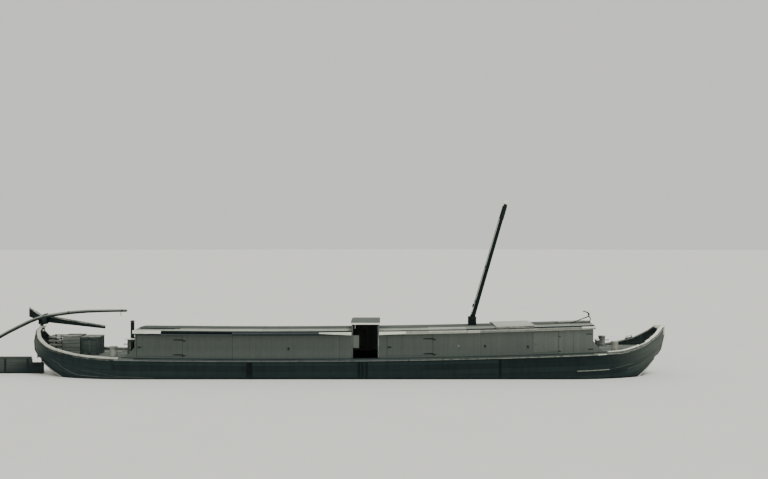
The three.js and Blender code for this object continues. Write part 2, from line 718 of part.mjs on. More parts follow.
function bitt(x, y, radius, top, long) {
  const base = sheer(x) + 12;
  const drum = post(x, y, radius, base, top - 30);
  const cap = post(x, y, radius + 14, top - 40, top);
  const foot = sheerFoot(x, y, radius + 10);
  const z = base + (top - base) * 0.55;
  const pin = solid(new THREE.CylinderGeometry(18, 18, long, 10).rotateZ(Math.PI / 2).translate(x, y, z));
  return union([foot, drum, cap, pin]);
}

// Square pad between a fitting and the sloping deck
function sheerFoot(x, y, half) {
  return loft([x - half, x + half].map((at) => [
    [at, y - half, sheer(at) + GAP],
    [at, y + half, sheer(at) + GAP],
    [at, y + half, sheer(x) + 26],
    [at, y - half, sheer(x) + 26],
  ]));
}

const LOCKER = { aft: -9450, fore: -8870, half: 350, top: 1915, wall: 25, lid: 30 };
const CHEST = { aft: -10100, fore: -9510, half: 330, top: 1980 };

function lockerBox() {
  const { aft, fore, half, top, wall } = LOCKER;
  const outside = loft([aft, fore].map((x) => [
    [x, -half, sheer(x) + GAP + 0.3],
    [x, half, sheer(x) + GAP + 0.3],
    [x, half, top],
    [x, -half, top],
  ]));
  return outside.subtract(box(aft + wall, fore - wall, -half + wall, half - wall, sheer(fore) + 60, 2500));
}

// Boarded chest behind the locker, with a top that overhangs a little
function sternChest() {
  const { aft, fore, half, top } = CHEST;
  const body = loft([aft, fore].map((x) => [
    [x, -half, sheer(x) + GAP + 0.3],
    [x, half, sheer(x) + GAP + 0.3],
    [x, half, top - 25],
    [x, -half, top - 25],
  ]));
  return body.add(box(aft - 15, fore + 10, -half - 15, half + 15, top - 30, top));
}

const lockerLid = () => box(LOCKER.aft - 20, LOCKER.fore + 20, -LOCKER.half - 20, LOCKER.half + 20,
  LOCKER.top + GAP, LOCKER.top + GAP + LOCKER.lid);

const CHIMNEY = { x: -7515, y: -800, radius: 65, top: 2500 };

function chimney() {
  const { x, y, radius, top } = CHIMNEY;
  const pipe = post(x, y, radius, sheer(x) + 20, top);
  return union([sheerFoot(x, y, radius + 20), pipe, post(x, y, 50, top - 5, top + 30, 12),
    post(x, y, 95, top + 25, top + 70, 16, 25)]);
}

const cabinDoor = () => {
  const x = HOUSE.aft;
  const { half } = CABIN_DOOR;
  const low = sheer(x) + CABIN_DOOR.bottom + DOOR.clear;
  const high = sheer(x) + CABIN_DOOR.top - DOOR.clear;
  const hinge = -HINGE.out;
  const leaf = box(3, 3 + WALL_THICK - 6, -2 * half + DOOR.clear, -DOOR.clear, low, high);
  const straps = HINGE.heights.map((height) => {
    const z = sheer(x) + height + GAP;
    return post(hinge, 0, HINGE.radius, z, z + HINGE.high, 12)
      .add(box(-HINGE.thick, 6, -HINGE.strap, 0, z, z + HINGE.high));
  });
  return union([leaf, ...straps]).translate([HINGE.out, 0, 0]);
};

function aftWall() {
  const wall = crossWall(HOUSE.aft, HOUSE.aft + WALL_THICK, cabinOpening);
  const pins = HINGE.heights.map((height) => {
    const top = sheer(HOUSE.aft) + height;
    const x = HOUSE.aft - HINGE.out;
    return post(x, CABIN_DOOR.half, HINGE.radius, top - HINGE.high, top, 12)
      .add(box(x, HOUSE.aft + 10, CABIN_DOOR.half - 2, CABIN_DOOR.half + 60, top - HINGE.high, top - 4));
  });
  return union([wall, ...pins]);
}

// Finishes
const finish = (color, roughness, metalness = 0) => new THREE.MeshStandardMaterial({ color, roughness, metalness });
const tarredWood = finish('#20211d', 0.62);
const railPaint = finish('#b4b29d', 0.55);
const housePaint = finish('#6b7065', 0.6);
const roofBoards = finish('#a3a292', 0.75);
const deckBoards = finish('#77735f', 0.8);
const darkPole = finish('#2b2823', 0.55);
const iron = finish('#1c1c1b', 0.5, 0.8);

const barge = new THREE.Group();
barge.name = 'river_barge';

function place(parent, name, made, material, position = [0, 0, 0]) {
  const mesh = new THREE.Mesh(geometryOf(made), material.clone());
  mesh.name = name;
  mesh.position.set(...position);
  parent.add(mesh);
}

const SIDES = [['starboard', -1], ['port', 1]];

function buildHull() {
  const hull = new THREE.Group();
  place(hull, 'bottom_planking', bottomPlanking(), tarredWood);
  place(hull, 'stem_post', postBoard(BOW, STEM_HEAD), tarredWood);
  place(hull, 'stern_post', postBoard(STERN, STERN_HEAD), tarredWood);
  place(hull, 'bow_deck', endDeck(HOUSE.fore + GAP, 11100, stemCutter), deckBoards);
  place(hull, 'stern_deck', endDeck(-11100, HOUSE.aft - GAP, sternCutter), deckBoards);
  const floor = box(-7900, 8450, -1300, 1300, BOTTOM_PLANK + GAP, FLOOR_TOP);
  place(hull, 'hold_floor', floor.subtract(insideCutter), deckBoards);
  for (const [name, side] of SIDES) {
    place(hull, `side_planking_${name}`, planking[side], tarredWood);
    place(hull, `wale_${name}`, wale(side), railPaint);
    place(hull, `cap_rail_bow_${name}`, capRail(side, BOW), railPaint);
    place(hull, `cap_rail_stern_${name}`, capRail(side, STERN), railPaint);
    place(hull, `side_deck_${name}`, sideDeck(side), deckBoards);
    place(hull, `ribs_${name}`, ribs(side), tarredWood);
    for (const [kind, x, y, radius, top, long] of BITTS)
      place(hull, `${kind}_${name}`, bitt(x, side * y, radius, top, long), railPaint);
    const { x, y, radius, top } = BOLLARD;
    const bollard = union([sheerFoot(x, side * y, radius + 15), post(x, side * y, radius, sheer(x) + 12, top)]);
    place(hull, `bollard_${name}`, bollard, darkPole);
  }
  place(hull, 'locker', lockerBox(), darkPole);
  place(hull, 'locker_lid', lockerLid(), roofBoards);
  place(hull, 'stern_chest', sternChest(), deckBoards);
  return hull;
}

function buildHouse() {
  const house = new THREE.Group();
  const [aftDoor, ...foreDoors] = SIDE_DOORS;
  for (const [name, side] of SIDES) {
    const aft = houseSide(side, HOUSE.aft, PASSAGE.aft - GAP, -1, [aftDoor]);
    const foreBoards = houseSide(side, PASSAGE.fore + GAP, HOUSE.fore, 1, foreDoors);
    const fore = side > 0 ? union([foreBoards, ...hingePins(side, LEAF.hinge)]) : foreBoards;
    place(house, `house_side_aft_${name}`, aft, housePaint);
    place(house, `house_side_fore_${name}`, fore, housePaint);
    for (const [kind, from, to] of SIDE_DOORS) {
      const hinge = [to, side * (HOUSE.half + HINGE.out), 0];
      place(house, `side_door_${kind}_${name}`, sideDoor(side, from, to), housePaint, hinge);
    }
  }
  place(house, 'aft_wall', aftWall(), housePaint);
  place(house, 'fore_wall', crossWall(HOUSE.fore - WALL_THICK, HOUSE.fore), housePaint);
  place(house, 'cabin_bulkhead', crossWall(BULKHEAD_X, BULKHEAD_X + WALL_THICK), housePaint);
  place(house, 'cabin_door', cabinDoor(), housePaint, [HOUSE.aft - HINGE.out, CABIN_DOOR.half, 0]);
  for (const [name, from, to] of ROOF_SECTIONS) {
    const section = name === 'roof_fore_3' ? roofWithHatch(from, to) : roofSection(from, to);
    place(house, name, section, roofBoards);
  }
  place(house, 'fore_hatch_lid', hatchLid(), roofBoards);
  place(house, 'portal_aft', portalAft(), housePaint);
  place(house, 'portal_fore', portal(PASSAGE.fore - PASSAGE.board), housePaint);
  place(house, 'passage_hatch', passageHatch(), roofBoards);
  place(house, 'passage_door', passageDoor(), housePaint, [LEAF.hinge, HOUSE.half + HINGE.out, 0]);
  place(house, 'chimney', chimney(), iron);
  place(house, 'mast_case', mastCase(), darkPole);
  return house;
}

function buildRudder() {
  const rudder = new THREE.Group();
  rudder.position.x = RUDDER.x;
  place(rudder, 'rudder_blade', rudderBlade(), tarredWood);
  place(rudder, 'rudder_head', rudderHead(), darkPole);
  place(rudder, 'tiller', tillerBoard(), railPaint);
  place(rudder, 'steering_spar', spar(), darkPole);
  return rudder;
}

function buildMast() {
  const group = new THREE.Group();
  group.position.set(MAST.x, 0, MAST.z);
  group.rotation.y = THREE.MathUtils.degToRad(MAST.lean);
  place(group, 'mast', mast(), darkPole);
  return group;
}

barge.add(buildHull(), buildHouse(), buildRudder(), buildMast());

export default barge;
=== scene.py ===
# Looks of a wooden river barge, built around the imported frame.
# Metres, +X to the bow, +Y to port, +Z up. The origin is under the middle of the flat bottom.
import math
import random
from itertools import product
from types import SimpleNamespace as Sizes

import bmesh
import bpy
import numpy as np
from mathutils import Matrix, Vector


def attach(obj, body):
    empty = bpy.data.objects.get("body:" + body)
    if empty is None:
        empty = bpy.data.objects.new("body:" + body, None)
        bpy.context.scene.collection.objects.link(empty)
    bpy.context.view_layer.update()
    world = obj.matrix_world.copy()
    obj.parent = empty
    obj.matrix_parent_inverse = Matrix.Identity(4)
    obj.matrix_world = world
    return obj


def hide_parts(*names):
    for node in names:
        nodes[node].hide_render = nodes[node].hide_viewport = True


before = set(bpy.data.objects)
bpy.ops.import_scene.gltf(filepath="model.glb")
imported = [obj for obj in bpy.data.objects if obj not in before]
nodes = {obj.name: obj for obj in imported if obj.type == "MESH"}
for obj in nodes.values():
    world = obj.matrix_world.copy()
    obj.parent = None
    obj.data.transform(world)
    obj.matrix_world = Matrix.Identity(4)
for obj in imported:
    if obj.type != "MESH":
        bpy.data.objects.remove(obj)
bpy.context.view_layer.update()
rng = random.Random(11)
SIDES = (("starboard", -1), ("port", 1))

WATER = 0.60  # height of the waterline above the bottom

# Form of the hull, as the solids have it
CURVE_START = 7.5
FLARE = 0.05 / 1.24
FOOT = 0.0703
REBATE = 0.06
RAIL_HEIGHT = 0.07
BOW = Sizes(
    sign=1, tip=11.2, start=8.97,
    ramp=[(0, 0), (8.7, 0), (9.1, 0.055), (9.5, 0.22), (10.19, 0.64), (10.6, 0.925), (10.905, 1.152), (11.3, 1.45)],
    post=[(10.86, 1.05), (10.91, 1.15), (11.12, 1.46), (11.19, 1.75), (11.25, 2.01), (11.26, 2.4)],
    rail=[(8.97, 1.51), (9.4, 1.54), (9.75, 1.61), (10.1, 1.7), (10.49, 1.84), (10.91, 2.13), (11.04, 2.27),
             (11.2, 2.31)],
)
STERN = Sizes(
    sign=-1, tip=11.15, start=7.85,
    ramp=[(0, 0), (8.2, 0), (8.7, 0.055), (9.2, 0.23), (10, 0.6), (10.5, 0.84), (11, 1.1), (11.3, 1.26)],
    post=[(10.95, 1.05), (11.05, 1.15), (11.22, 1.45), (11.24, 1.77), (11.17, 2.13), (11.05, 2.27), (11.05, 2.4)],
    rail=[(7.85, 1.335), (8.22, 1.36), (8.89, 1.39), (9.45, 1.45), (9.83, 1.52), (10.27, 1.605), (10.58, 1.71),
             (10.93, 1.93), (11.07, 2.11), (11.15, 2.27)],
)
HOUSE = Sizes(aft=-7.35, fore=8.46, half=1.09, height=0.86)
TAIL = Sizes(long=0.47, high=0.42, low=0.03)
PASSAGE = Sizes(aft=0.12, fore=1.07)
ROOF = Sizes(half=1.15, edge=0.06, camber=0.08, thick=0.04)


def lerp(a, b, share):
    return a + (b - a) * share


def along(table, at, key=0):
    return float(np.interp(at, [row[key] for row in table], [row[1 - key] for row in table]))


def end_of(x):
    return STERN if x < 0 else BOW


def sheer(x):
    return 1.237 + 0.00165 * (x + 3) ** 2


def ramp(x):
    return along(end_of(x).ramp, abs(x))


def rail_top(x):
    return max(along(end_of(x).rail, abs(x)), sheer(x) + RAIL_HEIGHT)


def plank_top(x):
    return sheer(x) if abs(x) < end_of(x).start else rail_top(x) - RAIL_HEIGHT


def half_beam(z):
    return 1.35 + FLARE * z


def hull_point(side, x, z, out=0.0):
    """Point of the outside of the side at a nominal station x and height z, moved out."""
    if abs(x) <= CURVE_START:
        return Vector((x, side * (half_beam(z) + out), z))
    end = end_of(x)
    share = min(1.0, (abs(x) - CURVE_START) / (end.tip - CURVE_START))
    reach = along(end.post, z, 1) - REBATE + out
    narrowing = (1 - share**2) ** (2 / 3)
    y = FOOT + (half_beam(z) + out - FOOT) * narrowing
    return Vector((end.sign * lerp(CURVE_START, reach, share), side * y, z))


def inner_half(x, z, inset=0.05):
    """Half breadth inside the planking at a real x and height z."""
    if abs(x) <= CURVE_START:
        return half_beam(z) - inset
    reach = along(end_of(x).post, z, 1) - REBATE - inset
    share = (abs(x) - CURVE_START) / (reach - CURVE_START)
    if share >= 1:
        return 0.0
    return FOOT + (half_beam(z) - inset - FOOT) * (1 - share**2) ** (2 / 3)


def chine(x):
    """Height of the underside of the bottom where a nominal station meets it."""
    z = ramp(x)
    for _ in range(8):
        z = ramp(hull_point(1, x, z).x)
    return z


def roof_top(x, y):
    return sheer(x) + HOUSE.height + ROOF.edge + ROOF.camber * (1 - (y / ROOF.half) ** 2)


def between(a, b, pitch):
    count = max(1, round((b - a) / pitch))
    return [lerp(a, b, i / count) for i in range(count + 1)]


def pairs(row):
    return list(zip(row, row[1:]))


def turns(count, more=0):
    """Angles round a circle."""
    return [2 * math.pi * k / count for k in range(count + more)]


END_SHARES = [0.08, 0.15, 0.22, 0.3, 0.36, 0.42, 0.48, 0.54, 0.6, 0.65, 0.7, 0.75, 0.8, 0.84, 0.88, 0.91, 0.94, 0.96,
              0.975, 0.985, 0.993, 1]
STATIONS = (
    [-lerp(CURVE_START, STERN.tip, s) for s in reversed(END_SHARES)]
    + between(-CURVE_START, CURVE_START, 0.75)
    + [lerp(CURVE_START, BOW.tip, s) for s in END_SHARES]
)


def stations(a, b):
    return [a] + [x for x in STATIONS if a + 0.02 < x < b - 0.02] + [b]


# Mesh code
class Piece:
    """Closed bodies in one mesh, with the values along the surface that the materials read."""

    def __init__(self):
        self.verts, self.faces, self.mats, self.smooth = [], [], [], []
        self.grain, self.tone, self.edge = [], [], []

    def add(self, verts, faces, grain, tone=None, edge=0.3, mat=0, smooth=False):
        points = np.array([tuple(v) for v in verts], float)
        corners = [(face[0], face[i], face[i + 1]) for face in faces for i in range(1, len(face) - 1)]
        if np.linalg.det(points[np.array(corners)]).sum() < 0:
            faces = [tuple(reversed(face)) for face in faces]
        base = len(self.verts)
        self.verts += [tuple(p) for p in points]
        self.faces += [tuple(base + i for i in face) for face in faces]
        self.mats += mat if isinstance(mat, list) else [mat] * len(faces)
        self.smooth += [smooth] * len(faces)
        shift = np.array([rng.uniform(0, 40), rng.uniform(0, 40), rng.uniform(0, 40)])
        self.grain += [tuple(p) for p in np.array(grain, float) + shift]
        self.tone += [rng.random() if tone is None else tone] * len(verts)
        self.edge += edge if isinstance(edge, list) else [edge] * len(verts)

    def slab(self, place, us, long, wide, thick, back=-0.003, chamfer=0.004, rows=1, mat=0, tone=None):
        """Board with eased edges. place(u, v, d) gives its points: u along, v from 0 to 1 across, d out."""
        ease = min(0.2, chamfer / long) * (us[-1] - us[0])
        lines = [us[0], us[0] + ease, *us[1:-1], us[-1] - ease, us[-1]]
        share = min(0.2, chamfer / wide)
        across = [0, share, *[k / rows for k in range(1, rows)], 1 - share, 1]
        n, m = len(lines), len(across)
        verts, grain, edge = [], [], []
        for layer, (i, u), (j, v) in product((0, 1), enumerate(lines), enumerate(across)):
            rim = i in (0, n - 1) or j in (0, m - 1)
            top = thick - chamfer if rim else thick
            verts.append(place(u, v, back if layer else top))
            grain.append(((u - us[0]) / (us[-1] - us[0]) * long, v * wide, layer * thick))
            edge.append(1.0 if rim else 0.0)
        faces = []
        for i, j in product(range(n - 1), range(m - 1)):
            a = i * m + j
            b = a + n * m
            faces += [(a, a + 1, a + m + 1, a + m), (b, b + m, b + m + 1, b + 1)]
        border = [i * m for i in range(n)] + [(n - 1) * m + j for j in range(1, m)]
        border += [i * m + m - 1 for i in range(n - 2, -1, -1)] + list(range(m - 2, 0, -1))
        faces += [(b, a, a + n * m, b + n * m) for a, b in zip(border, border[1:] + border[:1])]
        self.add(verts, faces, grain, tone, edge, mat)

    def block(self, low, high, bevel=0.004, turn=None, mat=0, tone=None, axis=None):
        """Box between two corners, with chamfered edges; turn is a matrix that places it."""
        low, high = (Vector([pick(values) for values in zip(low, high)]) for pick in (min, max))
        centre, half = (low + high) / 2, (high - low) / 2
        bevel = min(bevel, min(half) * 0.6)
        axis = max(range(3), key=lambda k: half[k]) if axis is None else axis
        verts, index, faces = [], {}, []
        for signs in product((-1, 1), repeat=3):
            for full in range(3):
                index[(*signs, full)] = len(verts)
                verts.append(centre + Vector([signs[k] * (half[k] - (0 if k == full else bevel)) for k in range(3)]))
        grain = [(v[axis], v[(axis + 1) % 3], v[(axis + 2) % 3]) for v in verts]

        def face(k, rows, outward):
            """Face from rows of signs along k and the two axes after it, with the axis that isn't cut back."""
            ring = []
            for *signs, full in rows:
                turned = [signs[(i - k) % 3] for i in range(3)]
                ring.append(index[(*turned, full)])
            faces.append(tuple(ring if outward else reversed(ring)))

        for k in range(3):
            for s in (-1, 1):
                face(k, [(s, sa, sb, k) for sa, sb in ((-1, -1), (1, -1), (1, 1), (-1, 1))], s > 0)
        for k in range(3):
            a, b = (k + 1) % 3, (k + 2) % 3
            for sa, sb in product((-1, 1), repeat=2):
                face(k, [(s, sa, sb, full) for s, full in ((-1, a), (1, a), (1, b), (-1, b))], sa * sb < 0)
        for signs in product((-1, 1), repeat=3):
            face(0, [(*signs, full) for full in range(3)], math.prod(signs) > 0)
        self.add([turn @ v for v in verts] if turn is not None else verts, faces, grain, tone, 0.5, mat)

    def loft(self, rings, mat=0, smooth=True):
        """Closed body through rings of points. mat may be a list with one index for each strip round the ring."""
        m, spans = len(rings[0]), len(rings) - 1
        strips = mat if isinstance(mat, list) else [mat] * m
        faces = [(i * m + j, i * m + (j + 1) % m, (i + 1) * m + (j + 1) % m, (i + 1) * m + j)
                 for i, j in product(range(spans), range(m))]
        faces += [tuple(reversed(range(m))), tuple(spans * m + j for j in range(m))]
        run, grain = 0.0, []
        for before, ring in zip([rings[0], *rings], rings):
            run += (ring[0] - before[0]).length
            girth = 0.0
            for last, p in zip([ring[0], *ring], ring):
                girth += (p - last).length
                grain.append((run, girth, 0.0))
        self.add([p for ring in rings for p in ring], faces, grain, mat=strips * spans + [strips[0], strips[-1]],
                 smooth=smooth)

    def tube(self, points, radii, sides=12, mat=0, round_ends=True, painted_highlight_mat=None):
        """Round bar through points, with rounded ends; painted_highlight_mat is a paler material for the strips that
        face up, a painted highlight.
        """
        points = [Vector(p) for p in points]
        if not isinstance(radii, list):
            radii = [radii] * len(points)
        if round_ends:
            first = (points[0] - points[1]).normalized()
            last = (points[-1] - points[-2]).normalized()
            r0, r1 = radii[0], radii[-1]
            inner = [points[0] - first * r0 * 0.3, *points[1:-1], points[-1] - last * r1 * 0.3]
            points = [points[0], *inner, points[-1]]
            radii = [r0 * 0.72, r0, *radii[1:-1], r1, r1 * 0.72]
        rings = []
        normal = None
        for i, p in enumerate(points):
            tangent = (points[min(i + 1, len(points) - 1)] - points[max(i - 1, 0)]).normalized()
            if normal is None:
                normal = tangent.orthogonal().normalized()
            normal = (normal - tangent * normal.dot(tangent)).normalized()
            other = tangent.cross(normal)
            rings.append([p + (normal * math.cos(t) + other * math.sin(t)) * radii[i] for t in turns(sides)])
        if painted_highlight_mat is not None:
            middle = rings[len(rings) // 2]
            centre = sum(middle, Vector()) / sides
            ups = [((p + q) / 2 - centre).normalized().z for p, q in zip(middle, middle[1:] + middle[:1])]
            mat = [painted_highlight_mat if up > 0.25 else mat for up in ups]
        self.loft(rings, mat)

    def lathe(self, profile, turn, sides=20, mat=0):
        """Turned body about Z, placed by a matrix. profile runs from the foot up as (radius, height)."""
        rings = [[turn @ Vector((r * math.cos(t), r * math.sin(t), z)) for t in turns(sides)] for r, z in profile]
        self.loft(rings, mat)

    def hoop(self, r, z, high, turn, sides, mat=0, sunk=0.002, proud=0.005):
        """Band round a turned body, with its foot at z."""
        section = [(r - sunk, z), (r + proud, z + 0.002), (r + proud, z + high - 0.002), (r - sunk, z + high)]
        self.lathe(section, turn, sides, mat)

    def bolt(self, centre, normal, radius=0.009, high=0.005, mat=0):
        """Low domed head, sunk a little."""
        turn = Vector(normal).to_track_quat("Z", "Y").to_matrix().to_4x4()
        turn.translation = Vector(centre)
        self.lathe([(radius, -0.003), (radius, high * 0.35), (radius * 0.6, high)], turn, 6, mat)

    def make(self, name, body, materials, slot, replaces=()):
        mesh = bpy.data.meshes.new(name)
        mesh.from_pydata(self.verts, [], self.faces)
        mesh.polygons.foreach_set("material_index", self.mats)
        mesh.polygons.foreach_set("use_smooth", self.smooth)
        layers = (("grain", "FLOAT_VECTOR", "vector"), ("tone", "FLOAT", "value"), ("edge", "FLOAT", "value"))
        for key, kind, field in layers:
            attribute = mesh.attributes.new(key, kind, "POINT")
            attribute.data.foreach_set(field, np.array(getattr(self, key), np.float32).ravel())
        enter(name, mesh, body, materials, replaces, 38)


def link(name, data):
    made = bpy.data.objects.new(name, data)
    bpy.context.scene.collection.objects.link(made)
    return made


def enter(name, mesh, body, materials, replaces, sharp):
    """Put a mesh in the scene as a piece that rides on a body; edges past the angle sharp are hard."""
    for material in materials:
        mesh.materials.append(material)
    mesh.set_sharp_from_angle(angle=math.radians(sharp))
    mesh.update()
    made = link(name, mesh)
    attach(made, body)
    if replaces:
        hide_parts(*replaces)


# Materials
class Graph:
    """Short way to write a node tree."""

    def __init__(self, name):
        self.material = bpy.data.materials.new(name)
        self.material.use_nodes = True
        self.tree = self.material.node_tree
        self.tree.nodes.clear()
        out = self.tree.nodes.new("ShaderNodeOutputMaterial")
        self.shader = self.tree.nodes.new("ShaderNodeBsdfPrincipled")
        self.tree.links.new(self.shader.outputs[0], out.inputs[0])

    def node(self, kind, inputs=None, **props):
        made = self.tree.nodes.new(kind)
        for key, value in props.items():
            setattr(made, key, value)
        for key, value in (inputs or {}).items():
            self.put(made.inputs[key], value)
        return made

    def put(self, socket, value):
        if isinstance(value, bpy.types.NodeSocket):
            self.tree.links.new(value, socket)
        else:
            socket.default_value = value

    def mapped(self, vector, scale, turn=(0, 0, 0)):
        return self.node("ShaderNodeMapping", {"Vector": vector, "Scale": scale, "Rotation": turn}).outputs[0]

    def noise(self, vector, scale=1.0, detail=4.0, rough=0.55, warp=0.0):
        inputs = {"Vector": vector, "Scale": scale, "Detail": detail, "Roughness": rough, "Distortion": warp}
        return self.node("ShaderNodeTexNoise", inputs).outputs["Fac"]

    def steps(self, value, low, high, to_low=0.0, to_high=1.0):
        inputs = {0: value, 1: low, 2: high, 3: to_low, 4: to_high}
        return self.node("ShaderNodeMapRange", inputs, interpolation_type="SMOOTHSTEP").outputs[0]

    def math(self, operation, a, b=0.0):
        return self.node("ShaderNodeMath", {0: a, 1: b}, operation=operation).outputs[0]

    def times(self, a, b):
        return self.math("MULTIPLY", a, b)

    def weigh(self, a, share_a, b, share_b):
        return self.math("ADD", self.times(a, share_a), self.times(b, share_b))

    def mix(self, share, a, b):
        return self.node("ShaderNodeMix", {0: share, 6: a, 7: b}, data_type="RGBA").outputs[2]

    def darken(self, share, colour, depth):
        return self.mix(share, colour, self.mix(depth, colour, (0.0, 0.0, 0.0, 1)))

    def attribute(self, name, output="Fac"):
        return self.node("ShaderNodeAttribute", attribute_name=name).outputs[output]

    def finish(self, inputs, height=None, bump=0.0, depth=0.0):
        if height is not None:
            bumps = self.node("ShaderNodeBump", {"Strength": bump, "Distance": depth, "Height": height})
            self.put(self.shader.inputs["Normal"], bumps.outputs[0])
        for key, value in inputs.items():
            self.put(self.shader.inputs[key], value)
        return self.material


def rgb(value, tint=None):
    """Grey of that brightness with the cast of the old picture, which is greener where it is darker."""
    if tint is None:
        rows = [0.42, 0.83, 0.97], [1, 1, 1], [1.0, 0.86, 0.86]
        tint = [float(np.interp(value, [0.02, 0.08, 0.35], row)) for row in rows]
    return tuple(value * t for t in tint) + (1,)


def greys(low, high, *tints):
    return tuple(rgb(value, tint) for value, tint in zip((low, high), tints or (None, None)))


def timber(name, wood, paint=None, cover=0.8, streaks=0.35, blotches=0.4, bump=0.4, fibres=55, plain=False,
           turn=(0, 0, 0), worn=0.5, waterline=False, knots=False, shine=0.4, colour_shifts=(), foot=None):
    """Wood with its grain along each board, or if plain along an axis, under worn paint or a tarred coat where that
    is given.

    colour_shifts is a list of stretches where the colour shifts, which on the hull ends is painted light, and foot
    the lighter colour low on the house walls, painted light that leaves their tops in painted shade under the eaves."""
    g = Graph(name)
    place = g.node("ShaderNodeTexCoord").outputs["Object"]
    lie = g.mapped(place, (1, 1, 1), turn) if plain else g.attribute("grain", "Vector")
    fine = g.noise(g.mapped(lie, (2.2, fibres, fibres)), 1, 5, 0.65)
    figure = g.noise(g.mapped(lie, (0.6, 8, 8)), 1, 3, 0.5, 1.1)
    cloud = g.noise(place, 0.9, 5, 0.6)
    spots = g.noise(place, 6.5, 4, 0.6)
    drips = g.noise(g.mapped(place, (7, 7, 0.5)), 1, 4, 0.6)
    tone = cloud if plain else g.attribute("tone")
    edge = g.noise(place, 14, 2) if plain else g.attribute("edge")
    mixed = g.math("ADD", g.weigh(fine, 0.55, figure, 0.45), g.times(g.math("SUBTRACT", tone, 0.5), 0.22))
    colour = g.mix(g.steps(mixed, 0.32, 0.68), *wood)
    rough = g.steps(fine, 0.3, 0.7, 0.77, 0.91)
    height = g.weigh(fine, 0.6, figure, 0.5)
    if knots:
        cells = g.node("ShaderNodeTexVoronoi", {"Vector": g.mapped(lie, (0.9, 5.5, 5.5)), "Scale": 1.0}, feature="F1")
        knot = g.steps(cells.outputs["Distance"], 0.03, 0.1, 1.0, 0.0)
        colour = g.mix(g.times(knot, 0.7), colour, tuple(c * 0.35 for c in wood[0][:3]) + (1,))
    if paint is not None:
        coat = g.mix(g.steps(g.weigh(cloud, 0.6, tone, 0.4), 0.3, 0.7), *paint)
        hold = g.math("SUBTRACT", g.weigh(spots, 0.5, fine, 0.5), g.times(edge, worn * 0.2))
        limit = lerp(0.68, 0.3, cover)
        mask = g.steps(hold, limit - 0.04, limit + 0.04)
        colour = g.mix(mask, colour, coat)
        rough = g.mix(mask, rough, g.steps(spots, 0.3, 0.7, 0.54, 0.68))
        height = g.weigh(height, 0.6, mask, 0.35)
    colour = g.darken(g.times(g.steps(drips, 0.42, 0.72), streaks), colour, 0.78)
    colour = g.darken(g.times(g.steps(cloud, 0.35, 0.7), blotches), colour, 0.5)
    x, _, z = g.node("ShaderNodeSeparateXYZ", {0: place}).outputs
    # Colour shifts along the length, painted light on the hull ends.
    for x0, x1, share, lighter in colour_shifts:
        reach = g.math("ADD", x, g.times(g.math("SUBTRACT", z, 1.2), math.copysign(1.6, x1 - x0)))
        colour_shift = g.times(g.steps(reach, x0, x1, 0.0, share), g.steps(mixed, 0.1, 0.75, 0.55, 1.2))
        colour = g.mix(colour_shift, colour, lighter)
    # Lighter low on the house walls so that their tops read darker: painted shade under the eaves.
    if foot is not None:
        foot_painted_light = g.times(g.steps(z, 1.68, 1.32, 0.0, 0.42), g.steps(mixed, 0.1, 0.75, 0.7, 1.15))
        colour = g.mix(foot_painted_light, colour, foot)
    if waterline:
        level = g.math("SUBTRACT", z, g.times(g.noise(g.mapped(place, (2.5, 2.5, 0.3)), 1, 5), 0.12))
        colour = g.mix(g.times(g.steps(level, WATER + 0.2, WATER + 0.03), 0.35), colour, rgb(0.02))
        wet = g.steps(level, WATER + 0.02, WATER - 0.045)
        colour = g.mix(wet, colour, rgb(0.006))
        rough = g.mix(wet, rough, (0.22, 0.22, 0.22, 1))
    return g.finish({"Base Color": colour, "Roughness": rough, "Specular IOR Level": shine}, height, bump, 0.006)


def metal(name, dark, rust, cover=0.6, rough=0.55, metallic=0.6):
    g = Graph(name)
    place = g.node("ShaderNodeTexCoord").outputs["Object"]
    patches = g.noise(place, 9, 6, 0.65)
    fine = g.noise(place, 90, 4, 0.6)
    mask = g.steps(g.weigh(patches, 0.7, fine, 0.3), lerp(0.65, 0.35, cover), lerp(0.75, 0.5, cover))
    rough = g.steps(fine, 0.3, 0.7, rough - 0.12, rough + 0.2)
    return g.finish({"Base Color": g.mix(mask, dark, rust), "Roughness": rough, "Metallic": metallic},
                    g.weigh(patches, 0.7, fine, 0.4), 0.35, 0.003)


TAR_WOOD = greys(0.012, 0.04)
GREY_WOOD = greys(0.07, 0.17)
DARK_WOOD = greys(0.024, 0.07)
CREAM = greys(0.6, 0.86)
HOUSE_GREEN = greys(0.072, 0.084)
OLIVE = greys(0.108, 0.13)
# Stretches where the colour shifts: from, to, share, colour. On the hull ends this is painted light.
# Lighter towards the bow and stern: painted light on the curved ends of the hull.
PAINTED_LIGHT_ENDS = [(8.6, 11.9, 0.9, rgb(0.11)), (-10.6, -11.9, 0.7, rgb(0.09))]
TOWARDS_BOW = [(0.5, 8, 0.4, rgb(0.1, (0.88, 1, 0.86)))]
TOWARDS_CABIN = [(1.0, -3.0, 0.5, rgb(0.055, (0.8, 1, 0.9)))]
WALL = {"cover": 0.95, "streaks": 0.16, "blotches": 0.2, "bump": 0.3, "worn": 0.35}

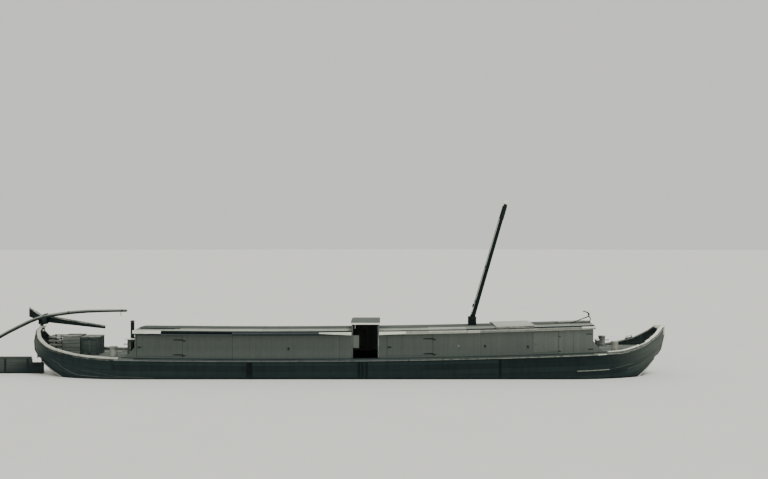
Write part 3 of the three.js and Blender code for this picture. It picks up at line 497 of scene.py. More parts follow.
# Tar on the hull, also used as painted shadow under the eaves and on the outer face of the bow rails.
tar_and_painted_shade = timber("tarred_strakes_and_painted_shade", greys(0.023, 0.05), greys(0.015, 0.03), 0.75, waterline=True, bump=0.5, shine=0.15,
             colour_shifts=PAINTED_LIGHT_ENDS)
tar_seam = timber("tarred_seams", greys(0.003, 0.007), plain=True, streaks=0.2, waterline=True)
tar_plain = timber("tarred_timber", greys(0.014, 0.036), plain=True, streaks=0.3, turn=(0, math.pi / 2, 0),
                   waterline=True, shine=0.2, colour_shifts=PAINTED_LIGHT_ENDS)
black_wood = timber("blackened_boards", greys(0.003, 0.012), streaks=0.1, waterline=True, shine=0.15)
black_plain = timber("blackened_timber", greys(0.005, 0.016), plain=True, streaks=0.2, shine=0.2)
inside_tar = timber("inside_planks", TAR_WOOD, streaks=0.3)
inside_plain = timber("inside_timber", TAR_WOOD, plain=True, streaks=0.3)
cream_paint = timber("cream_paint", GREY_WOOD, CREAM, 0.84, streaks=0.25, blotches=0.22, worn=0.9)
cream_plain = timber("cream_paint_plain", GREY_WOOD, CREAM, 0.9, plain=True, streaks=0.2, blotches=0.2)
trim_paint = timber("cream_trim", GREY_WOOD, CREAM, 0.97, streaks=0.15, blotches=0.15, worn=0.3)
bleached = timber("bleached_paint", GREY_WOOD, greys(0.36, 0.5), 0.85, streaks=0.25, worn=0.8)
pale_paint = timber("worn_pale_paint", GREY_WOOD, greys(0.22, 0.32), 0.72, streaks=0.3, worn=0.8)
grey_paint = timber("worn_grey_paint", TAR_WOOD, greys(0.075, 0.12), 0.66, streaks=0.45, worn=1.0)
blue_grey = timber("eave_paint", GREY_WOOD, greys(0.052, 0.085, (0.74, 1, 1.06), (0.76, 1, 1.04)), 0.88, streaks=0.3,
                   worn=0.8)
wale_grey = timber("strake_paint", GREY_WOOD, greys(0.13, 0.2, (0.86, 1, 0.98), (0.86, 1, 0.98)), worn=0.7)
house_paint = timber("house_paint", GREY_WOOD, HOUSE_GREEN, colour_shifts=TOWARDS_BOW + TOWARDS_CABIN,
                     foot=rgb(0.14, (0.8, 1, 0.87)), **WALL)
olive_paint = timber("olive_paint", GREY_WOOD, OLIVE, foot=rgb(0.17, (0.87, 1, 0.84)), **WALL)
house_base = timber("house_paint_plain", TAR_WOOD, HOUSE_GREEN, 0.9, plain=True)
house_seam = timber("house_seams", greys(0.006, 0.014), plain=True)
roof_wood = timber("roof_boards", greys(0.055, 0.13, (0.8, 1, 0.89), (0.88, 1, 0.87)), streaks=0.1, bump=0.6,
                   knots=True, shine=0.1)
roof_pale = timber("bleached_roof_boards", greys(0.2, 0.4), streaks=0.1, blotches=0.25, bump=0.6, knots=True,
                   shine=0.1)
# Near-black boards: painted shade along the edges of the roof.
roof_painted_shade = timber("roof_boards_painted_shade", greys(0.006, 0.02), streaks=0.1, bump=0.5, shine=0.05)
roof_seam = timber("roof_seams", greys(0.012, 0.03), plain=True)
deck_wood = timber("deck_boards", GREY_WOOD, streaks=0.1, blotches=0.5, bump=0.6, knots=True)
deck_dark = timber("dark_deck_boards", greys(0.022, 0.06), streaks=0.1, bump=0.5)
deck_seam = timber("deck_seams", greys(0.01, 0.02), plain=True)
dark_wood = timber("dark_timber", DARK_WOOD, streaks=0.2, bump=0.5)
dark_plain = timber("dark_timber_plain", DARK_WOOD, plain=True, streaks=0.3)
# Pale poles; on the spar this material is a painted highlight.
pale_pole_and_painted_highlight = timber("bleached_poles_and_painted_highlight", greys(0.16, 0.34), streaks=0.1, bump=0.5, fibres=40)
pole_wood = timber("round_poles", greys(0.008, 0.03), streaks=0.1, bump=0.5, fibres=40, knots=True)
hold_wood = timber("hold_boards", TAR_WOOD, plain=True, streaks=0.1)
rope = timber("tarred_rope", greys(0.008, 0.03), streaks=0.0, fibres=90)
pale_rope = timber("pale_rope", greys(0.16, 0.3), streaks=0.0, fibres=90)
iron = metal("black_iron", rgb(0.012), rgb(0.03, (1, 0.8, 0.6)), cover=0.4)
painted_iron = metal("painted_iron", OLIVE[0], rgb(0.06, (1, 0.85, 0.65)), cover=0.2, rough=0.6, metallic=0.0)
worn_iron = metal("worn_iron", rgb(0.07), rgb(0.045, (1, 0.8, 0.6)), cover=0.35, rough=0.5)

NODE_MATERIALS = {"hold_floor": hold_wood, "cabin_bulkhead": house_base, "ribs": inside_plain, "roof": roof_seam,
                  "stern_deck": deck_seam, "bow_deck": deck_seam, "side_deck": deck_seam}
for node_name, node in nodes.items():
    node.data.materials.clear()
    found = [look for start, look in NODE_MATERIALS.items() if node_name.startswith(start)]
    node.data.materials.append(found[0] if found else dark_plain)


def softened(name, source, body, materials, pick=None, bevel=0.006, angle=25, cut=None):
    """Copy of a solid with its edges eased; pick chooses the material of each face, after a level cut at a height."""
    form = bmesh.new()
    form.from_mesh(nodes[source].data)
    bmesh.ops.remove_doubles(form, verts=form.verts, dist=5e-5)
    bmesh.ops.dissolve_limit(form, angle_limit=math.radians(1), verts=form.verts, edges=form.edges)
    if cut:
        parts = [*form.verts, *form.edges, *form.faces]
        bmesh.ops.bisect_plane(form, geom=parts, plane_co=(0, 0, cut), plane_no=(0, 0, 1))
    sharp = [e for e in form.edges if len(e.link_faces) == 2 and e.calc_face_angle(0) > math.radians(angle)]
    bmesh.ops.bevel(form, geom=sharp, offset=bevel, segments=2, profile=0.6, affect="EDGES", clamp_overlap=True)
    for face in form.faces:
        face.smooth = True
        face.material_index = pick(face.calc_center_median(), face.normal) if pick else 0
    mesh = bpy.data.meshes.new(name)
    form.to_mesh(mesh)
    form.free()
    enter(name, mesh, body, materials, [source], 35)


# Hull: strakes that run with the top edge, laid over a fair core, with staggered butts
STRAKE = 0.182
STRAKES = 9
BUTTS = [[-6.2, -0.4, 5.3], [-8.1, -2.9, 2.6, 8.2], [-5.1, 0.9, 6.4], [-7.4, -1.7, 3.9], [-4.2, 1.6, 7.2],
         [-6.6, -2.2, 3.1], [-3.7, 2.2], [-5.6, 4.4], [0.4]]
CHINE_BAND = 0.066
RAMP_FROM = 8
BOTTOM_PLANK = 0.06
ENDS = (-STERN.tip, BOW.tip)


def side_level(x, depth):
    return max(plank_top(x) - depth, chine(x) + CHINE_BAND)


def runs_where(test, a, b, step=0.025):
    """Stretches of stations over which the test holds."""
    runs = []
    previous = False
    for x in between(a, b, step):
        holds = test(x)
        if holds and not previous:
            runs.append([x, x])
        elif holds:
            runs[-1][1] = x
        previous = holds
    return runs


def split_at(limits, cuts):
    return sorted({*limits, *[c for c in cuts if limits[0] + 0.3 < c < limits[-1] - 0.3]})


def on_planking(side, low, high):
    """Place function for a strip of the planking; low and high give its heights at a station."""
    return lambda u, v, d: hull_point(side, u, lerp(low(u), high(u), v), d)


# Pale strips along strake edges: partly wear, partly painted highlight where the edges catch the light.
EDGE_WEAR_AND_PAINTED_HIGHLIGHTS = [
    # stations with heights, height of the strip, material
    ([(7.88, 0.882), (8.5, 0.896), (9.16, 0.918)], 0.03, 1),
    ([(9.16, 0.918), (9.85, 1.03), (10.2, 1.1)], 0.014, 2),
    ([(9.9, 0.896), (10.3, 0.99), (10.72, 1.08), (10.88, 1.22)], 0.018, 2),
    ([(-10.5, 1.239), (-10.33, 1.1), (-10.01, 0.896), (-9.52, 0.724), (-8.6, 0.672)], 0.022, 2),
    ([(-8.6, 0.672), (-6.6, 0.645)], 0.014, 2),
    ([(-9.37, 0.91), (-8.0, 0.71), (-6.9, 0.67)], 0.014, 2),
]
for side_name, side in SIDES:
    hull = Piece()
    rings = []
    for x in STATIONS:
        low, high = chine(x) + BOTTOM_PLANK + 0.0015, plank_top(x) - 0.0005
        heights = [lerp(low, high, share) for share in (0, 0.12, 0.25, 0.4, 0.55, 0.7, 0.85, 1)]
        rings.append([hull_point(side, x, z, -0.012) for z in heights]
                     + [hull_point(side, x, z, -0.05) for z in reversed(heights)])
    hull.loft(rings, [2] * 8 + [3] * 8)
    for k in range(STRAKES):
        upper, lower = k * STRAKE + 0.0016, (k + 1) * STRAKE - 0.0016

        def lower_edge(x):
            return side_level(x, lower)

        def upper_edge(x):
            return side_level(x, upper)

        place = on_planking(side, lower_edge, upper_edge)
        for first, last in runs_where(lambda x: upper_edge(x) - lower_edge(x) > 0.018, *ENDS):
            if last - first < 0.15:
                continue
            for a, b in pairs(split_at([first, last], BUTTS[k])):
                hull.slab(place, stations(a + 0.0012, b - 0.0012), b - a, 0.18, rng.uniform(0.008, 0.0095),
                          back=-0.014, rows=3, chamfer=0.003)
            for x, v in product([x for x in between(-8.2, 8.6, 0.7) if first < x < last], (0.14, 0.86)):
                at = place(x, v, 0.009)
                hull.bolt(at, place(x, v, 0.019) - at, 0.008, 0.004, 1)
    hull.make(f"strakes_{side_name}", "hull", [tar_and_painted_shade, iron, tar_seam, inside_tar], "tarred_wood",
              [f"side_planking_{side_name}"])
    band = Piece()
    for a, b in pairs([ENDS[0], -8.2, -2.8, 3.4, 8.5, ENDS[1]]):
        strips = [(0.002, CHINE_BAND - 0.002, 0)]
        if abs((a + b) / 2) > RAMP_FROM:
            # The pale strip is brighter at the bow than at the stern: painted light where the bow ramp lies in shade.
            strips = [(0.002, 0.05, 3 if a > 0 else 1), (0.052, CHINE_BAND - 0.002, 0)]
        for low, high, mat in strips:
            place = on_planking(side, lambda x: chine(x) + low, lambda x: chine(x) + high)
            band.slab(place, stations(a + 0.002, b - 0.002), b - a, high - low, 0.012, mat=mat)
    for line, tall, mat in EDGE_WEAR_AND_PAINTED_HIGHLIGHTS:
        a, b = line[0][0], line[-1][0]
        place = on_planking(side, lambda x: along(line, x) - tall / 2, lambda x: along(line, x) + tall / 2)
        band.slab(place, stations(a, b), b - a, tall, 0.014, chamfer=0.003, mat=mat)
    band.make(f"chine_band_{side_name}", "hull", [tar_and_painted_shade, pale_paint, grey_paint, bleached], "tarred_wood")


def clipped_planks(piece, x0, x1, pitch, half_at, place_at, thick, back=-0.003, butts=(), long_step=0.2):
    """Fore and aft planks cut to a half breadth; place_at(x, y, d) gives the points."""
    count = int(1.45 / pitch) + 1
    for k in range(-count, count):
        y0, y1 = k * pitch + 0.0015, (k + 1) * pitch - 0.0015
        near = min(abs(y0), abs(y1))
        xs = [x for x in between(x0, x1, 0.05) if half_at(x) > near + 0.02]
        if len(xs) < 6:
            continue

        def place(u, v, d):
            limit = max(near + 0.012, half_at(u))
            return place_at(u, max(-limit, min(limit, lerp(y0, y1, v))), d)

        shifted = [b + 0.37 * (k % 3) for b in butts]
        joints = [xs[0], *[b for b in shifted if xs[0] + 0.6 < b < xs[-1] - 0.5], xs[-1]]
        for a, b in pairs(joints):
            us = between(a + 0.0015, b - 0.0015, long_step)
            piece.slab(place, us, b - a, y1 - y0, thick + rng.uniform(-0.0006, 0.0006), back=back, chamfer=0.003)


bottom = Piece()
clipped_planks(bottom, -11.2, 11.2, 0.21, lambda x: inner_half(x, ramp(x) + BOTTOM_PLANK, 0.0),
               lambda x, y, d: Vector((x, y, ramp(x) + BOTTOM_PLANK - d)), 0.059, back=0.001,
               butts=(-7.1, -3.2, 0.9, 4.8, 8.3), long_step=0.25)
bottom.make("bottom_planks", "hull", [tar_and_painted_shade], "tarred_wood", ["bottom_planking"])

# Posts, with the painted head of the stem and its iron band
WHITE_FROM = 1.98


def stem_look(at, normal):
    if at.z > WHITE_FROM:
        return 1
    return 2 if normal.x > 0.6 and abs(at.y) < 0.069 else 0


POST_LOOKS = [tar_plain, cream_plain, worn_iron]
STERN_WHITE = 2.24
softened("stem_timber", "stem_post", "hull", POST_LOOKS, stem_look, 0.01, cut=WHITE_FROM)
softened("stern_timber", "stern_post", "hull", POST_LOOKS, lambda at, _: int(at.z > STERN_WHITE), 0.01,
         cut=STERN_WHITE)
irons = Piece()
for side in (-1, 1):
    for x0, x1, y, half, z0, z1, mat in (
        (-11.12, -11.075, 0.078, 0.009, 1.16, 1.42, 1),
        (-11.2, -10.98, 0.076, 0.007, 1.6, 1.65, 0), (10.95, 11.12, 0.076, 0.007, 1.58, 1.63, 0),
        (-11.2, -10.98, 0.076, 0.007, 1.9, 1.95, 0), (10.95, 11.12, 0.076, 0.007, 1.88, 1.93, 0),
    ):
        irons.block((x0, side * y - half, z0), (x1, side * y + half, z1), 0.004, mat=mat)
irons.bolt((-10.9, -0.07, 2.14), (0, -1, 0), 0.036, 0.012, 2)
irons.make("post_irons", "hull", [iron, worn_iron, trim_paint], "iron")


# Inside of the bulwarks at both ends, with timber heads
def end_stations(end, a, b):
    """Distances from amidships of the stations of one end from a to b."""
    return sorted(abs(x) for x in stations(*sorted((end.sign * a, end.sign * b))))


for side_name, side in SIDES:
    lining = Piece()
    for end in (STERN, BOW):
        s = end.sign
        us = end_stations(end, end.start + 0.25, end.tip - 0.05)
        for k in range(4):
            def place(u, v, d):
                low, high = sheer(s * u) + 0.004, plank_top(s * u) - 0.006
                z = lerp(low, max(high, low + 0.01), (k + lerp(0.02, 0.98, v)) / 4)
                return hull_point(side, s * u, z, -0.05 - d)
            lining.slab(place, us, end.tip - end.start, 0.1, 0.02)
        for x in between(end.start + 0.5, end.tip - 0.5, 0.42):
            def rib(u, v, d):
                z = lerp(sheer(s * x) + 0.002, plank_top(s * x) - 0.004, u)
                return hull_point(side, s * (x + (v - 0.5) * 0.07), z, -0.066 - d)
            lining.slab(rib, [0, 0.5, 1], 0.4, 0.07, 0.035, back=-0.01, chamfer=0.008)
    lining.make(f"bulwark_lining_{side_name}", "hull", [inside_tar], "tarred_wood")

# Rubbing strake: a pale nosing over a darker one, with the fender boards
WALE = Sizes(drop=0.014, easing=0.4)
WALE_SECTION = [(-0.002, 0.0), (0.027, 0.0), (0.034, -0.005), (0.035, -0.014), (0.035, -0.028), (0.03, -0.036),
                (0.014, -0.039), (0.02, -0.042), (0.029, -0.045), (0.031, -0.051), (0.028, -0.057), (0.02, -0.06),
                (-0.002, -0.06)]
WALE_LENGTHS = [
    # from, to, look of the nosing, look of the lower moulding
    (-lerp(CURVE_START, STERN.tip, 0.985), -9.5, 1, 2), (-9.5, -8.0, 1, 2), (-8.0, -4.4, 4, 2), (-4.4, 0.2, 4, 2),
    (0.2, 1.9, 4, 2), (1.9, 5.21, 0, 2), (5.21, 8.6, 0, 2), (8.6, 8.92, 5, 1), (8.92, 9.9, 0, 2),
    (9.9, lerp(CURVE_START, BOW.tip, 0.985), 0, 2),
]


def wale_top(x):
    past = (abs(x) - end_of(x).start) / WALE.easing
    return plank_top(x) - WALE.drop * min(1, max(0, past))


FENDER_FOOT = 0.64
# Fender boards: from, to, thickness
FENDERS = [(-3.46, -3.26, 0.03), (0.35, 0.42, 0.03), (0.47, 0.54, 0.03), (0.61, 0.68, 0.03), (5.17, 5.25, 0.022)]
for side_name, side in SIDES:
    wale = Piece()
    for a, b, nosing, lower in WALE_LENGTHS:
        rings = [[hull_point(side, x, wale_top(x) + dz, out) for out, dz in WALE_SECTION]
                 for x in stations(a + 0.001, b - 0.001)]
        wale.loft(rings, [nosing] * 6 + [lower] * 7)
    for a, b, thick in FENDERS:
        top = sheer(a) - 0.03

        def board(u, v, d):
            z = lerp(FENDER_FOOT, top, u)
            return Vector((lerp(a, b, v), side * (half_beam(z) + 0.009 + d), z))

        wale.slab(board, [0, 0.33, 0.66, 1], top - FENDER_FOOT, b - a, thick - 0.009, chamfer=0.006, mat=6)
        for z in (0.72, 0.95, top - 0.06):
            wale.bolt((lerp(a, b, 0.5), side * (half_beam(z) + thick - 0.001), z), (0, side, 0), 0.012, 0.006, 3)
    looks = [pale_paint, grey_paint, tar_and_painted_shade, iron, wale_grey, trim_paint, black_wood]
    wale.make(f"rubbing_strake_{side_name}", "hull", looks, "rail_paint", [f"wale_{side_name}"])

# Cap rails, in lengths with butts
RAIL_SECTION = [(-0.095, -0.012), (-0.086, -0.002), (-0.05, 0.0), (0.018, 0.0), (0.028, -0.006), (0.03, -0.018),
                (0.03, -0.048), (0.024, -0.058), (0.01, -0.0695), (-0.086, -0.0695), (-0.095, -0.06)]
for side_name, side in SIDES:
    for kind, end, cut in (("bow", BOW, 9.9), ("stern", STERN, 9.5)):
        rail = Piece()

        def on_rail(x, lift, out=-0.03):
            return hull_point(side, end.sign * x, rail_top(end.sign * x) + lift, out)

        for a, b in ((end.start, cut), (cut, end.tip)):
            xs = end_stations(end, a + 0.0015, b - 0.0005)
            # At the bow the upper outer face of the rail is dark: painted shadow line under the top of the rail.
            rail.loft([[on_rail(x, dz, out) for out, dz in RAIL_SECTION] for x in xs],
                      [2, 0, 0, 0, 0, 4 if end is BOW else 0, 0, 1, 1, 1, 2])
        for x in between(end.start + 0.15, end.tip - 0.2, 0.38):
            rail.bolt(on_rail(x, 0.0), (0, 0, 1), 0.01, 0.003, 3)
        if end is BOW:
            rail.tube([on_rail(10.16, 0.008), on_rail(10.28, 0.012), on_rail(10.40, 0.008)], 0.022, 8, 3)
            for foot, tip in ((10.19, 10.26), (10.37, 10.31)):
                line = [(foot, 0.0), (foot, 0.05), (lerp(foot, tip, 0.5), 0.085), (tip, 0.098)]
                rail.tube([on_rail(*at) for at in line], [0.018, 0.016, 0.014, 0.011], 8, 3)
        looks = [cream_paint if end is BOW else bleached, grey_paint, pale_paint, iron, tar_and_painted_shade]
        rail.make(f"rail_cap_{kind}_{side_name}", "hull", looks, "rail_paint", [f"cap_rail_{kind}_{side_name}"])

# Decks
DECK_EDGE = 1.442
for name, x0, x1, butt in (("bow", HOUSE.fore + 0.004, 10.9, 9.6), ("stern", -10.86, HOUSE.aft - 0.012, -9.3)):
    decks = Piece()
    clipped_planks(decks, x0, x1, 0.145, lambda x: inner_half(x, sheer(x)) - 0.008,
                   lambda x, y, d: Vector((x, y, sheer(x) + d)), 0.008, butts=(butt,))
    decks.make(f"{name}_deck_planks", "hull", [deck_wood], "deck_boards")
for side_name, side in SIDES:
    walk = Piece()
    # The side decks are darker than the decks at the ends.
    strips = ((1.094, 1.182, 0), (1.185, 1.275, 0), (1.278, 1.368, 0), (1.371, DECK_EDGE, 1))
    for k, (y0, y1, mat) in enumerate(strips):
        joints = [-7.84 if mat else HOUSE.aft, -4.9 + k * 0.9, -0.8 + k * 0.7, 3.2 + k,
                  8.9 if mat else HOUSE.fore]
        for a, b in pairs(joints):
            def place(u, v, d):
                z = sheer(u)
                y = lerp(y0, y1, v)
                if abs(u) > CURVE_START - 0.4:
                    y = min(y, y - (DECK_EDGE - abs(hull_point(side, u, z, 0.03).y)))
                return Vector((u, side * y, z + d))
            walk.slab(place, between(a + 0.0015, b - 0.0015, 0.5), b - a, y1 - y0, 0.008, mat=mat)
    walk.make(f"side_deck_planks_{side_name}", "hull", [deck_dark, grey_paint], "deck_boards")

# House sides: upright boards, cut round the doors
SIDE_DOORS = {"aft": (-7.29, -5.7), "mid": (1.34, 2.93), "fore": (6.38, 7.27)}
DOOR = Sizes(bottom=0.09, top=0.8, clear=0.005)
STRONG_SEAMS = {-5.54: 0.003, -3.98: 0.006, -3.0: 0.004, -1.92: 0.002, -0.3: 0.006, 1.88: 0.002, 2.3: 0.0015,
                4.535: 0.001, 4.575: 0.012, 7.76: 0.005, 7.8: 0.001}
OLIVE_FROM = 7.2
BOARD_TOP = 0.857


def house_top(x):
    past = max(HOUSE.aft - x, x - HOUSE.fore)
    if past <= 0:
        return sheer(x) + BOARD_TOP
    return sheer(x) + lerp(TAIL.low, TAIL.high, max(0.0, 1 - past / TAIL.long) ** 1.7)


def over(height):
    """Height over the edge of the deck as a function of x."""
    return lambda x: sheer(x) + height


def on_wall(side):
    """Points by the side wall of the house, from x, z and the distance out of its face."""
    return lambda x, z, d: Vector((x, side * (HOUSE.half + d), z))


def upright(piece, put, p, q, gap, low, high, thick, long=None, **look):
    """Upright board from p to q less a gap at each edge; low and high are functions of the place across."""
    def place(u, v, d):
        at = lerp(p + gap, q - gap, v)
        return put(at, lerp(low(at), high(at), u), d)
    long = long or high((p + q) / 2) - low((p + q) / 2)
    piece.slab(place, [0, 0.5, 1], long, q - p, thick, chamfer=0.0025, **look)


def seams_from(a, b, pitch, fixed):
    """Board edges with the fixed ones kept and the spaces between them shared out."""
    marks = [a, *sorted(x for x in fixed if a + 0.02 < x < b - 0.02), b]
    return [x for p, q in pairs(marks) for x in between(p, q, pitch)[:-1]] + [b]


def board_tone():
    return 0.5 + rng.uniform(-0.22, 0.22)


def wall_look(axis, out, face):
    """Paint on the outer face of a wall, dark wood inside, and iron on what stands out of it."""
    def pick(at, normal):
        if abs(at[axis]) > abs(face) + 0.0015:
            return 2
        return 0 if normal[axis] * out > 0.5 else 1
    return pick


WALL_LOOKS = [house_seam, inside_plain, iron]
# Ring bolts: x, height. Straps: from, to, height
RING_BOLTS = [(-2.05, 1.63), (4.72, 1.72), (6.2, 1.7)]
CORNER_STRAPS = [(8.22, 8.43, 2.12), (8.28, 8.455, 1.6)]
for side_name, side in SIDES:
    boards = Piece()
    wall = on_wall(side)
    for a, b in ((HOUSE.aft - TAIL.long, PASSAGE.aft - 0.001),
                 (PASSAGE.fore + 0.001, HOUSE.fore + TAIL.long)):
        doors = [d for d in SIDE_DOORS.values() if a < d[0] < b]
        gaps = {**STRONG_SEAMS, HOUSE.aft: 0.002, HOUSE.fore: 0.002, **{x: 0.004 for d in doors for x in d}}
        for p, q in pairs(seams_from(a, b, 0.185, gaps)):
            gap_p, gap_q = (next((g for x, g in gaps.items() if abs(at - x) < 0.003), 0.0005) for at in (p, q))
            middle = (p + q) / 2
            look = {"tone": board_tone(), "mat": int(middle > OLIVE_FROM or 4.54 < middle < 4.57),
                    "rows": 4 if middle < HOUSE.aft or middle > HOUSE.fore else 1}
            spans = [(over(0.009), house_top)]
            if any(d[0] < middle < d[1] for d in doors):
                spans = [(over(0.009), over(DOOR.bottom)), (over(DOOR.top), house_top)]
            thick = 0.012 if q - p < 0.12 else 0.005
            for low, high in spans:
                upright(boards, wall, p + gap_p / 2, q - gap_q / 2, 0, low, high, thick, **look)
        p, q = (a + 0.02, b) if a < HOUSE.aft else (a, b - 0.02)
        boards.slab(lambda u, v, d: wall(u, sheer(u) + lerp(0.009, 0.034, v), 0.003 + d), between(p, q, 0.7), q - p,
                    0.025, 0.012, mat=2)
    for x, z in RING_BOLTS:
        boards.bolt(wall(x, z, 0.004), (0, side, 0), 0.034, 0.007, 3)
        ring = [wall(x + 0.033 * math.sin(t), z - 0.03 + 0.033 * math.cos(t), 0.016) for t in turns(12)]
        boards.tube([*ring, ring[0]], 0.006, 6, 3, round_ends=False)
    boards.bolt(wall(3.81, 1.71, 0.004), (0, side, 0), 0.03, 0.006, 4)
    for x0, x1, z in CORNER_STRAPS:
        boards.block(wall(x0, z - 0.014, 0.003), wall(x1, z + 0.014, 0.012), 0.003, mat=3)
    boards.make(f"house_boards_{side_name}", "hull", [house_paint, olive_paint, deck_dark, iron, pale_paint],
                "house_paint")
    for part in ("aft", "fore"):
        softened(f"house_frame_{part}_{side_name}", f"house_side_{part}_{side_name}", "hull", WALL_LOOKS,
                 wall_look(1, side, HOUSE.half), 0.002, 50)

# Hinges: iron straps with their bolts along the doors, seen from outside, and knuckles
HINGE = Sizes(heights=(0.1353, 0.6503), radius=0.012, high=0.03, out=0.014, long=0.34)


def strap(piece, root, direction, normal, high, mat, lift=0.0):
    direction, normal, long = Vector(direction).normalized(), Vector(normal), HINGE.long
    turn = Matrix((direction, normal.cross(direction), normal)).transposed().to_4x4()
    turn.translation = Vector(root)
    edge = [(0, 0.5), (long * 0.5, 0.44), (long * 0.93, 0.36)]
    outline = [(x, -y) for x, y in edge] + [(long, 0)] + edge[::-1]
    rings = [[turn @ Vector((x, y * high, lift + d)) for x, y in outline] for d in (-0.004, 0.003)]
    rings.append([turn @ Vector((x * 0.99 + 0.001, y * high * 0.86, lift + 0.006)) for x, y in outline])
    piece.loft(rings, mat, smooth=False)
    for share in (0.2, 0.5, 0.8):
        piece.bolt(turn @ Vector((long * share, 0, lift + 0.006)), normal, 0.007, 0.004, mat)


def hinge_knuckle(piece, foot, mat):
    r, high = HINGE.radius, HINGE.high
    piece.lathe([(r * 0.8, 0), (r, 0.002), (r, high - 0.002), (r * 0.8, high)], Matrix.Translation(foot), 10, mat)


LATCH = [(-0.03, -0.001), (-0.03, 0.017), (0.03, 0.017), (0.03, -0.001)]
for side_name, side in SIDES:
    plates = Piece()
    wall = on_wall(side)
    for kind, (a, b) in SIDE_DOORS.items():
        door = Piece()
        low, high = over(DOOR.bottom + DOOR.clear), over(DOOR.top - DOOR.clear)
        fixed = [x for x in STRONG_SEAMS if a < x < b]
        for p, q in pairs(seams_from(a + DOOR.clear, b - DOOR.clear, 0.19, fixed)):
            upright(door, lambda x, z, d: wall(x, z, d - 0.017), p, q, 0.0005, low, high, 0.012, back=-0.008,
                    tone=board_tone())
        for level in (0.07, 0.57):
            def ledge(u, v, d):
                x = lerp(a + 0.06, b - 0.06, u)
                return wall(x, low(x) + level + v * 0.11, -0.023 - d)
            door.slab(ledge, [0, 0.5, 1], b - a, 0.11, 0.021, back=-0.004, chamfer=0.004)
        for height in HINGE.heights:
            z = sheer(b) + height
            middle = z + HINGE.high / 2
            slope = (sheer(b) - sheer(b - 0.3)) / 0.3
            strap(door, wall(b - 0.004, middle, -0.003), (-1, 0, -slope), (0, side, 0), 0.042, 1)
            hinge_knuckle(door, wall(b, z, HINGE.out), 1)
            door.block(wall(b - 0.02, middle - 0.012, -0.005), wall(b, middle + 0.012, 0.02), 0.002, mat=1)
            plates.block(wall(b + 0.006, z - 0.033, 0.003), wall(b + 0.1, z + 0.006, 0.01), 0.003,
                         mat=int(b > OLIVE_FROM))
        latch = a + 0.09
        z = sheer(latch) + 0.4
        door.block(wall(latch - 0.06, z - 0.02, -0.007), wall(latch + 0.06, z + 0.02, 0.003), 0.002, mat=1)
        door.tube([wall(latch + x, z, d) for x, d in LATCH], 0.006, 6, 1)
        name = f"{kind}_{side_name}"
        looks = [olive_paint, painted_iron] if b > OLIVE_FROM else [house_paint, iron]
        door.make(f"door_boards_{name}", f"side_door_{name}", looks, "house_paint", [f"side_door_{name}"])
    plates.make(f"hinge_plates_{side_name}", "hull", [iron, painted_iron], "iron")

# End walls of the house
WALL_HALF = 1.035
CABIN_DOOR = Sizes(half=0.3, bottom=0.06, top=0.8, axis=-7.364)
for name, x, out, fixed in (("aft", HOUSE.aft, -1, (-0.3, 0.3)), ("fore", HOUSE.fore, 1, ())):
    wall = Piece()
    for p, q in pairs(seams_from(-WALL_HALF, WALL_HALF, 0.19, fixed)):
        levels = [sheer(x) + 0.011, roof_top(x, max(abs(p), abs(q))) - ROOF.thick - 0.008]
        if fixed and abs((p + q) / 2) < CABIN_DOOR.half:
            levels[1:1] = [sheer(x) + CABIN_DOOR.bottom, sheer(x) + CABIN_DOOR.top]
        for z0, z1 in zip(levels[::2], levels[1::2]):
            upright(wall, lambda y, z, d: Vector((x + out * d, y, z)), p, q, 0.001, lambda y: z0, lambda y: z1, 0.006,
                    tone=board_tone())
    wall.make(f"{name}_wall_boards", "hull", [house_paint if out < 0 else olive_paint], "house_paint")
    softened(f"{name}_wall_frame", f"{name}_wall", "hull", WALL_LOOKS, wall_look(0, out, x), 0.002, 50)

door = Piece()
low, high = sheer(HOUSE.aft) + CABIN_DOOR.bottom + 0.005, sheer(HOUSE.aft) + CABIN_DOOR.top - 0.005
for p, q in pairs(between(-CABIN_DOOR.half + 0.005, CABIN_DOOR.half - 0.005, 0.15)):
    upright(door, lambda y, z, d: Vector((-7.335 - d, y, z)), p, q, 0.0008, lambda y: low, lambda y: high, 0.012,
            back=-0.01, tone=board_tone())
for z in (low + 0.08, high - 0.17):
    door.block((-7.326, -0.26, z), (-7.314, 0.26, z + 0.1), 0.003)
for height in HINGE.heights:
    z = sheer(HOUSE.aft) + height
    strap(door, (-7.36, 0.3, z + 0.015), (0, -1, 0), (-1, 0, 0), 0.03, 1, lift=0.003)
    door.block((-7.362, 0.0, z + 0.004), (-7.344, 0.292, z + 0.026), 0.002, mat=1)
    hinge_knuckle(door, (CABIN_DOOR.axis, CABIN_DOOR.half, z), 1)
door.tube([(x, -0.24, z) for x, z in ((-7.345, 1.66), (-7.372, 1.66), (-7.372, 1.76), (-7.345, 1.76))], 0.007, 6, 1)
door.make("cabin_door_boards", "cabin_door", [house_paint, iron], "house_paint", ["cabin_door"])

# Roof: fore and aft boards over each section, with edge boards
# Look 4 on the outer boards and the upper eave strip is painted shade.
ROOF_LOOKS = [
    # name, from, to, outer boards, upper eave strip, lower eave strip
    ("cabin", -7.42, -6.444, 0, 2, 2), ("aft_1", -6.44, -3.002, 4, 4, 3), ("aft_2", -2.998, 0.1197, 4, 3, 5),
    ("fore_1", 1.0703, 2.768, 0, 7, 7), ("fore_2", 2.772, 4.098, 0, 7, 7), ("fore_3", 4.102, 6.598, 4, 1, 1),
    ("fore_4", 6.602, 8.53, 4, 1, 1),
]
HATCH = Sizes(aft=5.14, fore=6.44, half=0.94, rise=0.012, camber=0.035, lid=0.038, over=0.02)
CASE = Sizes(aft=4.25, fore=4.52, half=0.14)
ROOF_BOARD_EDGES = [-1.15, -1.02, -0.9, -0.7, -0.5, -0.3, -0.1, 0.1, 0.3, 0.5, 0.7, 0.9, 1.02, 1.15]


